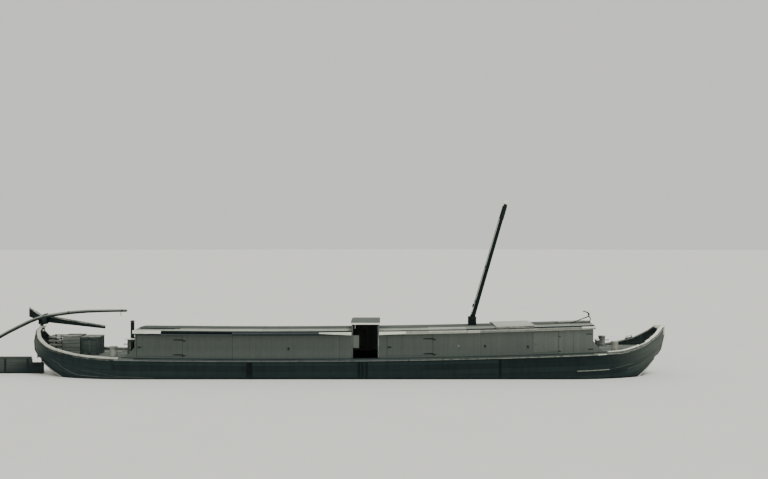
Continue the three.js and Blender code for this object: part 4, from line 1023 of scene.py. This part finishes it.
def hatch_top(x, y):
    return roof_top(x, 0) + HATCH.rise - HATCH.camber * (y / HATCH.half) ** 2


def eave(piece, side, a, b, low, high, thick, mat):
    """Strip on the edge of the roof; low and high are heights over the top of the house side, at both ends."""
    def place(u, v, d):
        z = lerp(lerp(*low, (u - a) / (b - a)), lerp(*high, (u - a) / (b - a)), v)
        return Vector((u, side * (ROOF.half + d), sheer(u) + HOUSE.height + z))
    piece.slab(place, between(a + 0.001, b - 0.001, 0.8), b - a, high[0] - low[0], thick, mat=mat)


HOLES = [(HATCH.aft, HATCH.fore, HATCH.half), (CASE.aft, CASE.fore, CASE.half)]
EAVE_CUTS = {"aft_1": [-3.99], "fore_3": [4.555], "fore_4": [8.05]}
# Look 5 on a lower eave strip is painted shadow under the eave.
EAVE_LOOKS = {-3.99: (3, 5), 4.102: (7, 7), 8.05: (2, 1)}
for name, a, b, outer_mat, *eave_mats in ROOF_LOOKS:
    roof = Piece()
    for y0, y1 in pairs(ROOF_BOARD_EDGES):
        middle = abs((y0 + y1) / 2)
        ends = [a, b]
        for x0, x1, half in HOLES:
            if a < x0 and x1 < b and middle < half + 0.05:
                ends = sorted([*ends, x0 - 0.002, x1 + 0.002])

        def place(u, v, d):
            y = lerp(y0 + 0.0015, y1 - 0.0015, v)
            return Vector((u, y, roof_top(u, y) + d))

        for p, q in zip(ends[::2], ends[1::2]):
            mat = outer_mat if middle > 0.9 else (6 if middle > 0.5 else 0)
            roof.slab(place, between(p, q, 0.8), q - p, y1 - y0, 0.007 + rng.uniform(-0.001, 0.001), mat=mat)
    for side in (-1, 1):
        if name == "cabin":
            top = 0.128 if side < 0 else 0.066
            eave(roof, side, a, -6.9, (0.014, 0.014), (top, top), 0.014, 2)
            eave(roof, side, -6.9, b, (0.02, 0.02), (top, top), 0.012, 2)
            # Dark lower strip: painted shadow under the eave.
            eave(roof, side, a, b, (-0.024, -0.024), (0.012, 0.017), 0.007, 5)
            continue
        for p, q in pairs([a, *EAVE_CUTS.get(name, []), b]):
            upper, lower = EAVE_LOOKS.get(p, eave_mats)
            eave(roof, side, p, q, (0.021, 0.021), (0.078, 0.078), 0.012, upper)
            eave(roof, side, p, q, (-0.024, -0.024), (0.019, 0.019), 0.007, lower)
        if name == "aft_2":
            eave(roof, side, -1.0, 0.118, (0.03, -0.03), (0.072, 0.078), 0.022, 2)
        if name == "fore_1":
            eave(roof, side, 1.07, 2.0, (-0.03, 0.0), (0.078, 0.074), 0.02, 2)
    looks = [roof_wood, pale_paint, trim_paint, blue_grey, roof_painted_shade, tar_and_painted_shade, roof_pale, bleached]
    roof.make(f"roof_planks_{name}", "hull", looks, "roof_boards")


# Coaming of the fore hatch, and its lid
def cover_planks(piece, x0, x1, pitch, step, surface, planks, rims, chamfer, bolts=()):
    """Fore and aft planks, given as half breadth and thickness, and rims, as inner edge, outer edge and thickness."""
    def strip(y0, y1, wide, thick, **look):
        def place(u, v, d):
            y = lerp(y0, y1, v)
            return Vector((u, y, surface(u, y) + 0.0008 + d))
        piece.slab(place, between(x0, x1, step), x1 - x0, wide, thick, back=0.0, **look)

    half, thick = planks
    for p, q in pairs(between(-half, half, pitch)):
        strip(p + 0.001, q - 0.001, q - p, thick, rows=2, tone=board_tone())
    inner, outer, thick = rims
    for side in (-1, 1):
        strip(side * inner, side * outer, outer - inner, thick, mat=1, chamfer=chamfer)
        y = side * (outer - 0.12)
        for x in bolts:
            piece.bolt((x, y, surface(x, y) + planks[1]), (0, 0, 1), 0.012, 0.004, 2)


coaming = Piece()
for side in (-1, 1):
    def long_side(u, v, d):
        y = side * (HATCH.half + d)
        return Vector((u, y, lerp(roof_top(u, HATCH.half) + 0.004, hatch_top(u, HATCH.half) - 0.003, v)))
    coaming.slab(long_side, between(HATCH.aft - 0.01, HATCH.fore + 0.01, 0.7), 1.3, 0.03, 0.012, back=-0.004)
for x, out in ((HATCH.aft, -1), (HATCH.fore, 1)):
    def cross_side(u, v, d):
        return Vector((x + out * d, u, lerp(roof_top(x, u) + 0.004, hatch_top(x, u) - 0.003, v)))
    coaming.slab(cross_side, between(-HATCH.half, HATCH.half, 0.3), 1.88, 0.03, 0.012, back=-0.004)
coaming.make("hatch_coaming", "hull", [trim_paint], "rail_paint")
lid = Piece()
x0, x1, half = HATCH.aft - HATCH.over, HATCH.fore + HATCH.over, HATCH.half + HATCH.over
cover_planks(lid, x0, x1, 0.19, 0.45, hatch_top, (half - 0.03, HATCH.lid - 0.002),
             (half - 0.029, half, HATCH.lid - 0.001), 0.003, (x0 + 0.08, (x0 + x1) / 2, x1 - 0.08))
lid.make("hatch_lid_planks", "fore_hatch_lid", [bleached, bleached, iron], "roof_boards", ["fore_hatch_lid"])

# Passage across the house: portals, cover and leaf
HOOD = Sizes(edge=2.45, camber=0.05, thick=0.05, half=1.13, over=0.03)
JAMB = Sizes(aft=0.165, fore=0.38, bottom=1.64, top=2.07, face=-1.0395)


def hood_under(_, y):
    return HOOD.edge + HOOD.camber * (1 - (y / HOOD.half) ** 2)


def portal_look(at, normal):
    if JAMB.aft + 0.02 < at.x < 0.5 and JAMB.bottom - 0.01 < at.z < JAMB.top + 0.01 and at.y < -1:
        return 1
    return 0 if abs(normal.x) < 0.5 and abs(at.y) > 1.0 else 2


for name in ("aft", "fore"):
    softened(f"passage_frame_{name}", f"portal_{name}", "hull", [olive_paint, olive_paint, inside_plain],
             portal_look, 0.004)
trim = Piece()
x0, face = JAMB.aft + 0.008, JAMB.face
trim.block((x0, face - 0.012, JAMB.bottom + 0.006), (JAMB.fore - 0.004, face - 0.0005, JAMB.top - 0.006), 0.004,
           tone=0.6)
trim.block((x0, face - 0.018, JAMB.bottom - 0.012), (JAMB.fore, face - 0.002, JAMB.bottom + 0.014), 0.004, mat=1)
for side in (-1, 1):
    for a, b, foot, top, mat in ((1.036, 1.0695, 1.05, 2.4, int(side < 0)), (0.1205, 0.15, 0.1, 2.1, 0)):
        trim.block((a, side * 1.041, sheer(foot) + 0.04), (b, side * 1.085, top), 0.004, mat=mat)
trim.make("passage_trim", "hull", [olive_paint, pale_paint], "house_paint")
hood = Piece()
cover_planks(hood, PASSAGE.aft - HOOD.over, PASSAGE.fore + HOOD.over, 0.18, 0.5, hood_under,
             (HOOD.half - 0.026, HOOD.thick - 0.003), (HOOD.half - 0.0255, HOOD.half, HOOD.thick - 0.0015),
             0.004)
hood.make("hood_planks", "passage_hatch", [grey_paint, trim_paint], "roof_boards", ["passage_hatch"])
leaf = Piece()
LEAF = Sizes(aft=0.128, fore=1.062, shoulder=2.09, top=2.435, narrow=0.05, inner=1.045, outer=1.085)
shoulders = [LEAF.aft + LEAF.narrow, LEAF.fore - LEAF.narrow]
for y, out, mat, pitch in ((LEAF.outer, 1, 0, 0.17), (LEAF.inner, -1, 1, 0.12)):
    for p, q in pairs(seams_from(LEAF.aft, LEAF.fore, pitch, shoulders)):
        top = LEAF.shoulder if q - p < 0.06 else LEAF.top
        upright(leaf, lambda x, z, d: Vector((x, y + out * (d - 0.0195), z)), p, q, 0.0006, over(0.035),
                lambda x: top, 0.0195, top - 1.3, back=0.0, mat=mat, tone=board_tone())
for height in HINGE.heights:
    z = sheer(1.07) + height
    strap(leaf, (1.066, 1.087, z + 0.015), (-1, 0, -0.013), (0, 1, 0), 0.03, 2)
    hinge_knuckle(leaf, (1.07, HOUSE.half + HINGE.out, z), 2)
    leaf.block((1.045, 1.084, z + 0.004), (1.07, 1.11, z + 0.026), 0.002, mat=2)
leaf.make("passage_leaf_boards", "passage_door", [house_paint, grey_paint, iron], "house_paint", ["passage_door"])

# Stove pipe
CHIMNEY = Sizes(x=-7.515, y=-0.8, radius=0.065)
pipe = Piece()
foot, r = sheer(CHIMNEY.x), CHIMNEY.radius
at = Matrix.Translation((CHIMNEY.x, CHIMNEY.y, 0))
pipe.lathe([(r + 0.018, foot + 0.002), (r + 0.018, foot + 0.02), (r + 0.004, foot + 0.034), (r, foot + 0.05),
            (r, 1.8), (r + 0.004, 1.804), (r + 0.004, 1.826), (r, 1.83), (r, 2.2), (r + 0.004, 2.204),
            (r + 0.004, 2.226), (r, 2.23), (r, 2.49), (r + 0.003, 2.494), (r + 0.003, 2.5), (0.05, 2.501),
            (0.05, 2.527), (0.09, 2.527), (0.095, 2.531), (0.06, 2.552), (0.025, 2.569), (0.012, 2.57)], at, 24)
for z in (1.95, 2.1):
    pipe.block((CHIMNEY.x + r - 0.006, -0.82, z), (-7.357, -0.78, z + 0.03), 0.003)
pipe.make("stove_pipe", "hull", [iron], "iron", ["chimney"])

# Shelf at the after wall of the house
shelf = Piece()
shelf.block((-7.74, -1.06, 1.925), (-7.358, -0.885, 1.96), mat=1)
for y in (-1.03, -0.925):
    shelf.block((-7.63, y, sheer(-7.6) + 0.009), (-7.59, y + 0.025, 1.925))
    shelf.block((-7.59, y, 1.86), (-7.358, y + 0.025, 1.89))
shelf.make("wall_shelf", "hull", [dark_wood, trim_paint], "dark_timber")

# Mast: pole, heel, iron bands, lashing under the head and the painted ball
MAST = Sizes(x=4.38, z=2.54, lean=16.3, foot=0.085, top=0.072, truck=4.31, ball=0.079)
LASHING = (3.72, 4.2)
mast_turn = Matrix.Translation((MAST.x, 0, MAST.z)) @ Matrix.Rotation(math.radians(MAST.lean), 4, "Y")
pole = Piece()


def pole_radius(z):
    return lerp(MAST.foot, MAST.top, z / MAST.truck)


levels = [0.14, 0.3, 0.8, 1.4, 2.0, 2.6, 3.2, 3.7, 4.2, MAST.truck - 0.04]
# Strips facing aft are pale: painted highlight on the lit edge of the mast.
painted_highlight_strips = [5 if math.cos(2 * math.pi * (k + 0.5) / 24) < -0.68 else 0 for k in range(24)]
pole.lathe([(pole_radius(z), z) for z in levels], mast_turn, 24, painted_highlight_strips)
pole.block((-0.085, -0.085, -0.1), (0.085, 0.085, 0.17), 0.014, mast_turn)
pole.tube([mast_turn @ Vector((0, y, 0)) for y in (-0.139, 0.139)], 0.0195, 14, 1)
for z in (0.2, 0.62, 1.9):
    pole.hoop(pole_radius(z), z, 0.04, mast_turn, 24, 1)
wound = []
for z in between(*LASHING, 0.022)[:-1]:
    r = pole_radius(z) + rng.uniform(-0.0015, 0.0015)
    wound += [(r + 0.002, z + 0.001), (r + 0.016, z + 0.006), (r + 0.016, z + 0.016), (r + 0.002, z + 0.021)]
pole.lathe(wound, mast_turn, 20, 2)
ball = [(MAST.ball * math.sin(t), MAST.truck - MAST.ball * math.cos(t)) for t in turns(24)[1:12]]
pole.lathe(ball, mast_turn, 22, 3)
halyard = [mast_turn @ Vector((-pole_radius(z) - 0.01, -0.03, z)) for z in (0.5, 1.2, 2.0, 2.8, 3.5, 4.1)]
pole.tube(halyard, 0.008, 6, 4)
pole.block((-0.125, -0.045, 0.42), (-0.08, -0.015, 0.54), 0.008, mast_turn)
looks = [black_wood, iron, rope, trim_paint, pale_rope, bleached]
pole.make("mast_pole", "mast", looks, "dark_timber", ["mast"])
softened("mast_cheeks", "mast_case", "hull", [black_plain, iron])
fittings = Piece()
for side in (-1, 1):
    fittings.bolt((MAST.x, side * 0.1395, MAST.z), (0, side, 0), 0.034, 0.012)
    for z in (2.44, 2.605):
        fittings.block((4.246, side * 0.138, z - 0.018), (4.524, side * 0.146, z + 0.018), 0.003)
fittings.make("mast_case_irons", "hull", [iron], "iron")

# Rudder: blade of planks with straps, head, tiller and the long spar
RUDDER_X = -10.98
blade = Piece()


def blade_aft(z):
    return -along([(0.12, 1.9), (0.19, 2.38), (0.42, 2.62), (1.2, 2.62)], z)


def blade_fore(z):
    return 0.055 if z < 1.0 else -along([(1.0, 0.33), (1.2, 0.37)], z)


for (z0, z1), side in product(pairs([0.121, 0.31, 0.5, 0.69, 0.87, 0.999, 1.129]), (-1, 1)):
    def place(u, v, d):
        z = lerp(z0 + 0.0012, z1 - 0.0012, v)
        return Vector((RUDDER_X + lerp(blade_aft(z), blade_fore((z0 + z1) / 2), u), side * d, z))
    blade.slab(place, between(0, 1, 0.17), 2.6, z1 - z0, 0.0295, back=0.0)
for (x, z0), side in product(((-0.5, 0.14), (-1.3, 0.14), (-2.1, 0.2), (-2.55, 0.42)), (-1, 1)):
    blade.block((RUDDER_X + x - 0.035, side * 0.027, z0), (RUDDER_X + x + 0.035, side * 0.038, 1.12), 0.003, mat=1)
    for z in between(z0 + 0.08, 1.04, 0.2):
        blade.bolt((RUDDER_X + x, side * 0.038, z), (0, side, 0), 0.011, 0.005, 1)
blade.block((RUDDER_X - 2.62, -0.05, 1.13), (RUDDER_X - 0.37, 0.05, 1.2), 0.01, mat=2)
blade.block((RUDDER_X - 0.06, -0.06, 0.12), (RUDDER_X + 0.06, 0.06, 1.0), 0.012)
for z in (0.3, 0.62, 0.9):
    blade.block((RUDDER_X - 0.3, -0.064, z), (RUDDER_X + 0.064, 0.064, z + 0.05), mat=1)
blade.lathe([(0.018, 0.99), (0.02, 1.0), (0.02, 1.072), (0.015, 1.078)], Matrix.Translation((RUDDER_X, 0, 0)), 16, 1)
blade.make("rudder_planks", "rudder", [tar_and_painted_shade, iron, tar_and_painted_shade], "tarred_wood", ["rudder_blade"])
softened("rudder_neck", "rudder_head", "rudder", [black_plain, iron], lambda at, _: int(at.z < 2.37),
         0.008)
softened("tiller_timber", "tiller", "rudder", [black_plain], bevel=0.014)
cap = Piece()
CAP_LINE = [(-0.435, 2.967), (-0.22, 2.825), (0, 2.68), (0.26, 2.645), (0.52, 2.61), (1.4, 2.458), (2.255, 2.31)]


def cap_place(u, v, d):
    return Vector((RUDDER_X + u, lerp(-0.0535, 0.0535, v), along(CAP_LINE, u) - 0.04 + d))


cap.slab(cap_place, [x for x, _ in CAP_LINE], 2.7, 0.107, 0.04, back=0.0, chamfer=0.006)
cap.make("tiller_cap", "rudder", [bleached], "rail_paint")
SPAR_Y = -0.1133
SPAR = [
    # X from the axis, height, radius
    (3.07, 2.85, 0.045), (2.7, 2.849, 0.048), (2.4, 2.845, 0.05), (2.05, 2.838, 0.053), (1.72, 2.827, 0.055),
    (1.35, 2.803, 0.057), (1.01, 2.773, 0.059), (0.6, 2.717, 0.061), (0.18, 2.648, 0.063), (-0.1, 2.577, 0.063),
    (-0.35, 2.48, 0.063), (-0.78, 2.273, 0.063), (-1.14, 2.092, 0.063), (-1.49, 1.898, 0.063), (-1.76, 1.742, 0.061),
    (-2.02, 1.58, 0.06), (-2.34, 1.37, 0.056), (-2.53, 1.18, 0.052),
]


def spar_at(x, column=1):
    return along([(row[0], row[column]) for row in reversed(SPAR)], x)


spar = Piece()
# The strips of the spar that face up are pale: painted highlight.
spar.tube([(RUDDER_X + x, SPAR_Y, z) for x, z, _ in SPAR], [r for _, _, r in SPAR], 20, 0, painted_highlight_mat=4)
for x in (2.9, 1.0, -1.5):
    slope = math.atan2(spar_at(x + 0.05) - spar_at(x), 0.05)
    turn = Matrix.Translation((RUDDER_X + x, SPAR_Y, spar_at(x))) @ Matrix.Rotation(math.pi / 2 - slope, 4, "Y")
    spar.hoop(spar_at(x, 2), -0.02, 0.04, turn, 18, 1, 0.003, 0.004)
peg = [(-8.13, SPAR_Y, 2.8), (-8.13, SPAR_Y, 2.7), (-8.12, SPAR_Y, 2.66), (-8.1, SPAR_Y, 2.68)]
spar.tube(peg, [0.01, 0.009, 0.008, 0.007], 8, 1)
LOOP_FOOT = 2.405
for x in between(0.08, 0.22, 0.024):
    rise = spar_at(x) + 0.07 - LOOP_FOOT
    loop = [(RUDDER_X + x + 0.012 * t / 6.28, 0.128 * math.cos(t) - 0.061,
             LOOP_FOOT + rise * (0.5 + 0.56 * math.sin(t))) for t in turns(20, 1)]
    spar.tube(loop, 0.012, 7, 2, round_ends=False)
spar.bolt((RUDDER_X + 0.16, -0.072, 2.42), (0, -1, 0), 0.03, 0.012, 3)
spar.make("spar_pole", "rudder", [pole_wood, iron, rope, trim_paint, pale_pole_and_painted_highlight], "dark_timber", ["steering_spar"])

# Bitts, bollards
BITTS = [
    # end, X, Y, radius, top, length of the cross pin
    ("stern", -8.09, 1.08, 0.125, 1.7, 0.6), ("bow", 9.24, 0.9, 0.118, 1.85, 0.52),
]
BOLLARD = Sizes(x=8.62, y=0.94, radius=0.08, top=1.95)


def deck_pad(piece, x, y, half, mat):
    def place(u, v, d):
        return Vector((u, lerp(y - half, y + half, v), sheer(u) + 0.0005 + d))
    piece.slab(place, [x - half, x, x + half], 2 * half, 2 * half, 0.026, back=0.0, chamfer=0.005, mat=mat)


for side_name, side in SIDES:
    for kind, x, y, r, top, long in BITTS:
        made = Piece()
        base, at = sheer(x) + 0.012, Matrix.Translation((x, side * y, 0))
        deck_pad(made, x, side * y, r + 0.01, 1)
        made.lathe([(r + 0.004, base), (r, base + 0.02), (r * 0.99, (base + top) / 2), (r, top - 0.06),
                    (r + 0.008, top - 0.048), (r + 0.014, top - 0.04), (r + 0.014, top - 0.012),
                    (r + 0.006, top - 0.002), (r * 0.5, top - 0.0005)], at, 28)
        for z in (base + 0.05, top - 0.1):
            made.hoop(r, z, 0.03, at, 28)
        made.tube([(x + share * long, side * y, lerp(base, top, 0.55)) for share in (-0.5, 0, 0.5)], 0.018)
        made.make(f"bitt_{kind}_turned_{side_name}", "hull", [pale_paint, deck_wood], "rail_paint",
                  [f"bitt_{kind}_{side_name}"])
    made = Piece()
    x, y, r, top = BOLLARD.x, side * BOLLARD.y, BOLLARD.radius, BOLLARD.top
    base, at = sheer(x) + 0.012, Matrix.Translation((x, y, 0))
    deck_pad(made, x, y, r + 0.015, 0)
    made.lathe([(r, base), (r * 0.96, base + 0.06), (r * 0.94, top - 0.16), (r * 0.86, top - 0.13),
                (r * 0.86, top - 0.1), (r, top - 0.075), (r, top - 0.06)], at, 22)
    made.lathe([(r, top - 0.061), (r, top - 0.03), (r * 0.85, top - 0.01), (r * 0.5, top - 0.001), (r * 0.1, top)],
               at, 22, 1)
    made.make(f"bollard_turned_{side_name}", "hull", [dark_wood, cream_paint], "dark_timber",
              [f"bollard_{side_name}"])

# Locker with its lid, chest and slatted rack on the stern deck
LOCKER = Sizes(aft=-9.45, fore=-8.87, half=0.35, top=1.915, lid=0.03)
CHEST = Sizes(aft=-10.1, fore=-9.51, half=0.33, top=1.98)
softened("locker_box", "locker", "hull", [dark_plain], bevel=0.005)
frames = Piece()
x0, x1, half, top = LOCKER.aft, LOCKER.fore, LOCKER.half, LOCKER.top - 0.004
base = sheer(x0) + 0.012
for side in (-1, 1):
    y0, y1 = side * (half - 0.002), side * (half + 0.012)
    for x in [lerp(x0, x1 - 0.06, share) for share in (0, 0.5, 1)]:
        frames.block((x, y0, base), (x + 0.06, y1, top), 0.003)
    for z in (base + 0.001, top - 0.066):
        frames.block((x0 + 0.061, y0, z), (x1 - 0.061, min(y1, half + 0.011), z + 0.065), 0.003)
    xa, xb = (x0 - 0.012, x0 + 0.002) if side < 0 else (x1 - 0.002, x1 + 0.012)
    for y in [lerp(-half, half - 0.06, share) for share in (0, 0.5, 1)]:
        frames.block((xa, y, base), (xb, y + 0.06, top), 0.003)
    for z in (base + 0.001, top - 0.066):
        frames.block((xa, -half + 0.061, z), (xb, half - 0.061, z + 0.065), 0.003)
frames.make("locker_frames", "hull", [dark_wood], "dark_timber")
cover = Piece()
z0 = LOCKER.top + 0.0003
for p, q in pairs(between(-LOCKER.half - 0.02, LOCKER.half + 0.02, 0.15)):
    cover.block((LOCKER.aft - 0.02, p + 0.001, z0), (LOCKER.fore + 0.02, q - 0.001, z0 + LOCKER.lid), axis=0)
cover.make("locker_lid_planks", "locker_lid", [pale_paint], "roof_boards", ["locker_lid"])

softened("chest_box", "stern_chest", "hull", [inside_plain], bevel=0.004)
slats = Piece()
x0, x1, half, top = CHEST.aft, CHEST.fore, CHEST.half, CHEST.top
base = sheer(x0) + 0.014
for k in range(5):
    z0, z1 = [lerp(base, top - 0.034, (k + share) / 5) for share in (0.05, 0.95)]
    for side in (-1, 1):
        slats.block((x0 - 0.012, side * (half - 0.002), z0), (x1 + 0.008, side * (half + 0.012), z1), axis=0)
    slats.block((x0 - 0.0125, -half, z0), (x0 + 0.002, half, z1), axis=1)
    slats.block((x1 - 0.002, -half, z0), (x1 + 0.0085, half, z1), axis=1)
for k, (p, q) in enumerate(pairs(between(-half - 0.018, half + 0.018, 0.14))):
    rise = (0.004, 0.001, 0.003, 0.0, 0.004)[k % 5]
    slats.block((x0 - 0.018 - 0.004 * (k % 2), p + 0.0015, top - 0.032), (x1 + 0.012, q - 0.0015, top + rise), mat=1,
                axis=0)
slats.make("chest_slats", "hull", [deck_wood, pale_paint], "deck_boards")

RACK = Sizes(aft=-10.6, fore=-10.17, half=0.3, top=1.97)
rack = Piece()
x0, x1, half = RACK.aft, RACK.fore, RACK.half
for x, y in product((x0, x1 - 0.04), (-half, half - 0.04)):
    rack.block((x, y, sheer(x) + 0.009), (x + 0.04, y + 0.04, RACK.top))
for z in (1.52, 1.655, 1.8, 1.935):
    for side in (-1, 1):
        rack.block((x0 - 0.02, side * half, z - 0.026), (x1 + 0.02, side * (half + 0.02), z + 0.026), mat=1)
    for x in (x0 - 0.021, x1 + 0.001):
        rack.block((x, -half + 0.001, z - 0.026), (x + 0.02, half - 0.001, z + 0.026), mat=1)
for x in between(x0 + 0.05, x1 - 0.05, 0.09):
    rack.block((x - 0.03, -half, 1.38), (x + 0.03, half, 1.4), mat=1, axis=1)
rack.make("stern_rack", "hull", [dark_wood, pale_paint], "deck_boards")

# Small anchor and poles that lie on the roof
anchor = Piece()
crown, ring_end = Vector((8.44, -0.5, 2.68)), Vector((7.86, -0.5, 2.462))
shank = (crown - ring_end).normalized()
anchor.tube([ring_end, ring_end.lerp(crown, 0.5), crown + shank * 0.03], [0.013, 0.015, 0.019], 10)
side_ways = Vector((0, 1, 0))
upward = side_ways.cross(shank)
for turn, reach in ((0, 0.2), (135, 0.29), (225, 0.29)):
    t = math.radians(turn)
    out = upward * math.cos(t) + side_ways * math.sin(t)
    arm = [crown + out * reach * share + shank * rise
           for share, rise in ((0, 0), (0.45, 0.03), (0.85, -0.02), (1, -0.1))]
    anchor.tube(arm, [0.018, 0.016, 0.014, 0.009], 10)
    palm = [arm[2] + shank.cross(out) * w - shank * 0.01 * (1 - abs(w) * 10) for w in (-0.035, 0.035)]
    plate = [*palm, arm[3] + out * 0.015]
    anchor.loft([[p + out * rise for p in plate] for rise in (0.006, 0.012)], 1, smooth=False)
ring = [ring_end + shank * (0.035 * math.cos(t) - 0.035) + side_ways * 0.035 * math.sin(t) for t in turns(14, 1)]
anchor.tube(ring, 0.007, 8, round_ends=False)
anchor.make("grapnel", "hull", [iron, worn_iron], "iron")
poles = Piece()
for x0, x1, y, r, mat in ((-7.3, -6.1, -0.62, 0.018, 0), (-7.22, -5.9, -0.55, 0.016, 0), (7.4, 8.56, -0.24, 0.028, 1),
                          (7.3, 8.5, -0.16, 0.024, 1)):
    xs = between(x0, x1, 0.4)
    poles.tube([(x, y, roof_top(max(-7.4, min(x, 8.5)), y) + 0.008 + r) for x in xs], r, 10, mat)
poles.make("roof_poles", "hull", [dark_wood, pale_pole_and_painted_highlight], "dark_timber")


# Stage, light and camera
def make_floor():
    """Floor at the waterline, with the hull cut out of it."""
    rows = []
    for side in (1, -1):
        afloat = [hull_point(side, x, WATER, -0.03) for x in STATIONS if chine(x) < WATER]
        rows.append([(p.x, p.y) for p in afloat])
    ring = rows[0] + rows[1][::-1]
    far = 400.0
    verts = [(x, y, WATER) for x, y in ring]
    for x, y in ring:
        turn = math.atan2(y / 1.4, x / 11.0)
        verts.append((far * math.cos(turn), far * math.sin(turn), WATER))
    n = len(ring)
    faces = [(i, (i + 1) % n, n + (i + 1) % n, n + i) for i in range(n)]
    mesh = bpy.data.meshes.new("floor")
    mesh.from_pydata(verts, [], faces)
    g = Graph("floor")
    place = g.node("ShaderNodeTexCoord").outputs["Object"]
    colour = g.mix(g.noise(place, 0.4, 2), rgb(0.66, (1, 1, 0.96)), rgb(0.7, (1, 1, 0.96)))
    mesh.materials.append(g.finish({"Base Color": colour, "Roughness": 0.75}))
    floor = link("floor", mesh)


make_floor()

world = bpy.data.worlds.new("studio")
bpy.context.scene.world = world
world.use_nodes = True
world.node_tree.nodes["Background"].inputs[0].default_value = (0.88, 0.88, 0.82, 1)
world.node_tree.nodes["Background"].inputs[1].default_value = 0.92


def sun(name, power, angle, towards):
    light = bpy.data.lights.new(name, "SUN")
    light.energy = power
    light.angle = math.radians(angle)
    made = link(name, light)
    made.rotation_mode = "QUATERNION"
    made.rotation_quaternion = Vector(towards).to_track_quat("-Z", "Y")


sun("key", 2.0, 30, (-0.35, 0.3, -1.0))
sun("fill", 0.3, 60, (0.6, 0.9, -0.45))

camera_data = bpy.data.cameras.new("camera")
camera = link("camera", camera_data)
camera.location = (1.24, -31.4, 5.38)
camera.rotation_euler = (math.radians(90), 0, 0)
camera_data.lens = 41.2
camera_data.sensor_width = 36
camera_data.clip_end = 2000
bpy.context.scene.camera = camera
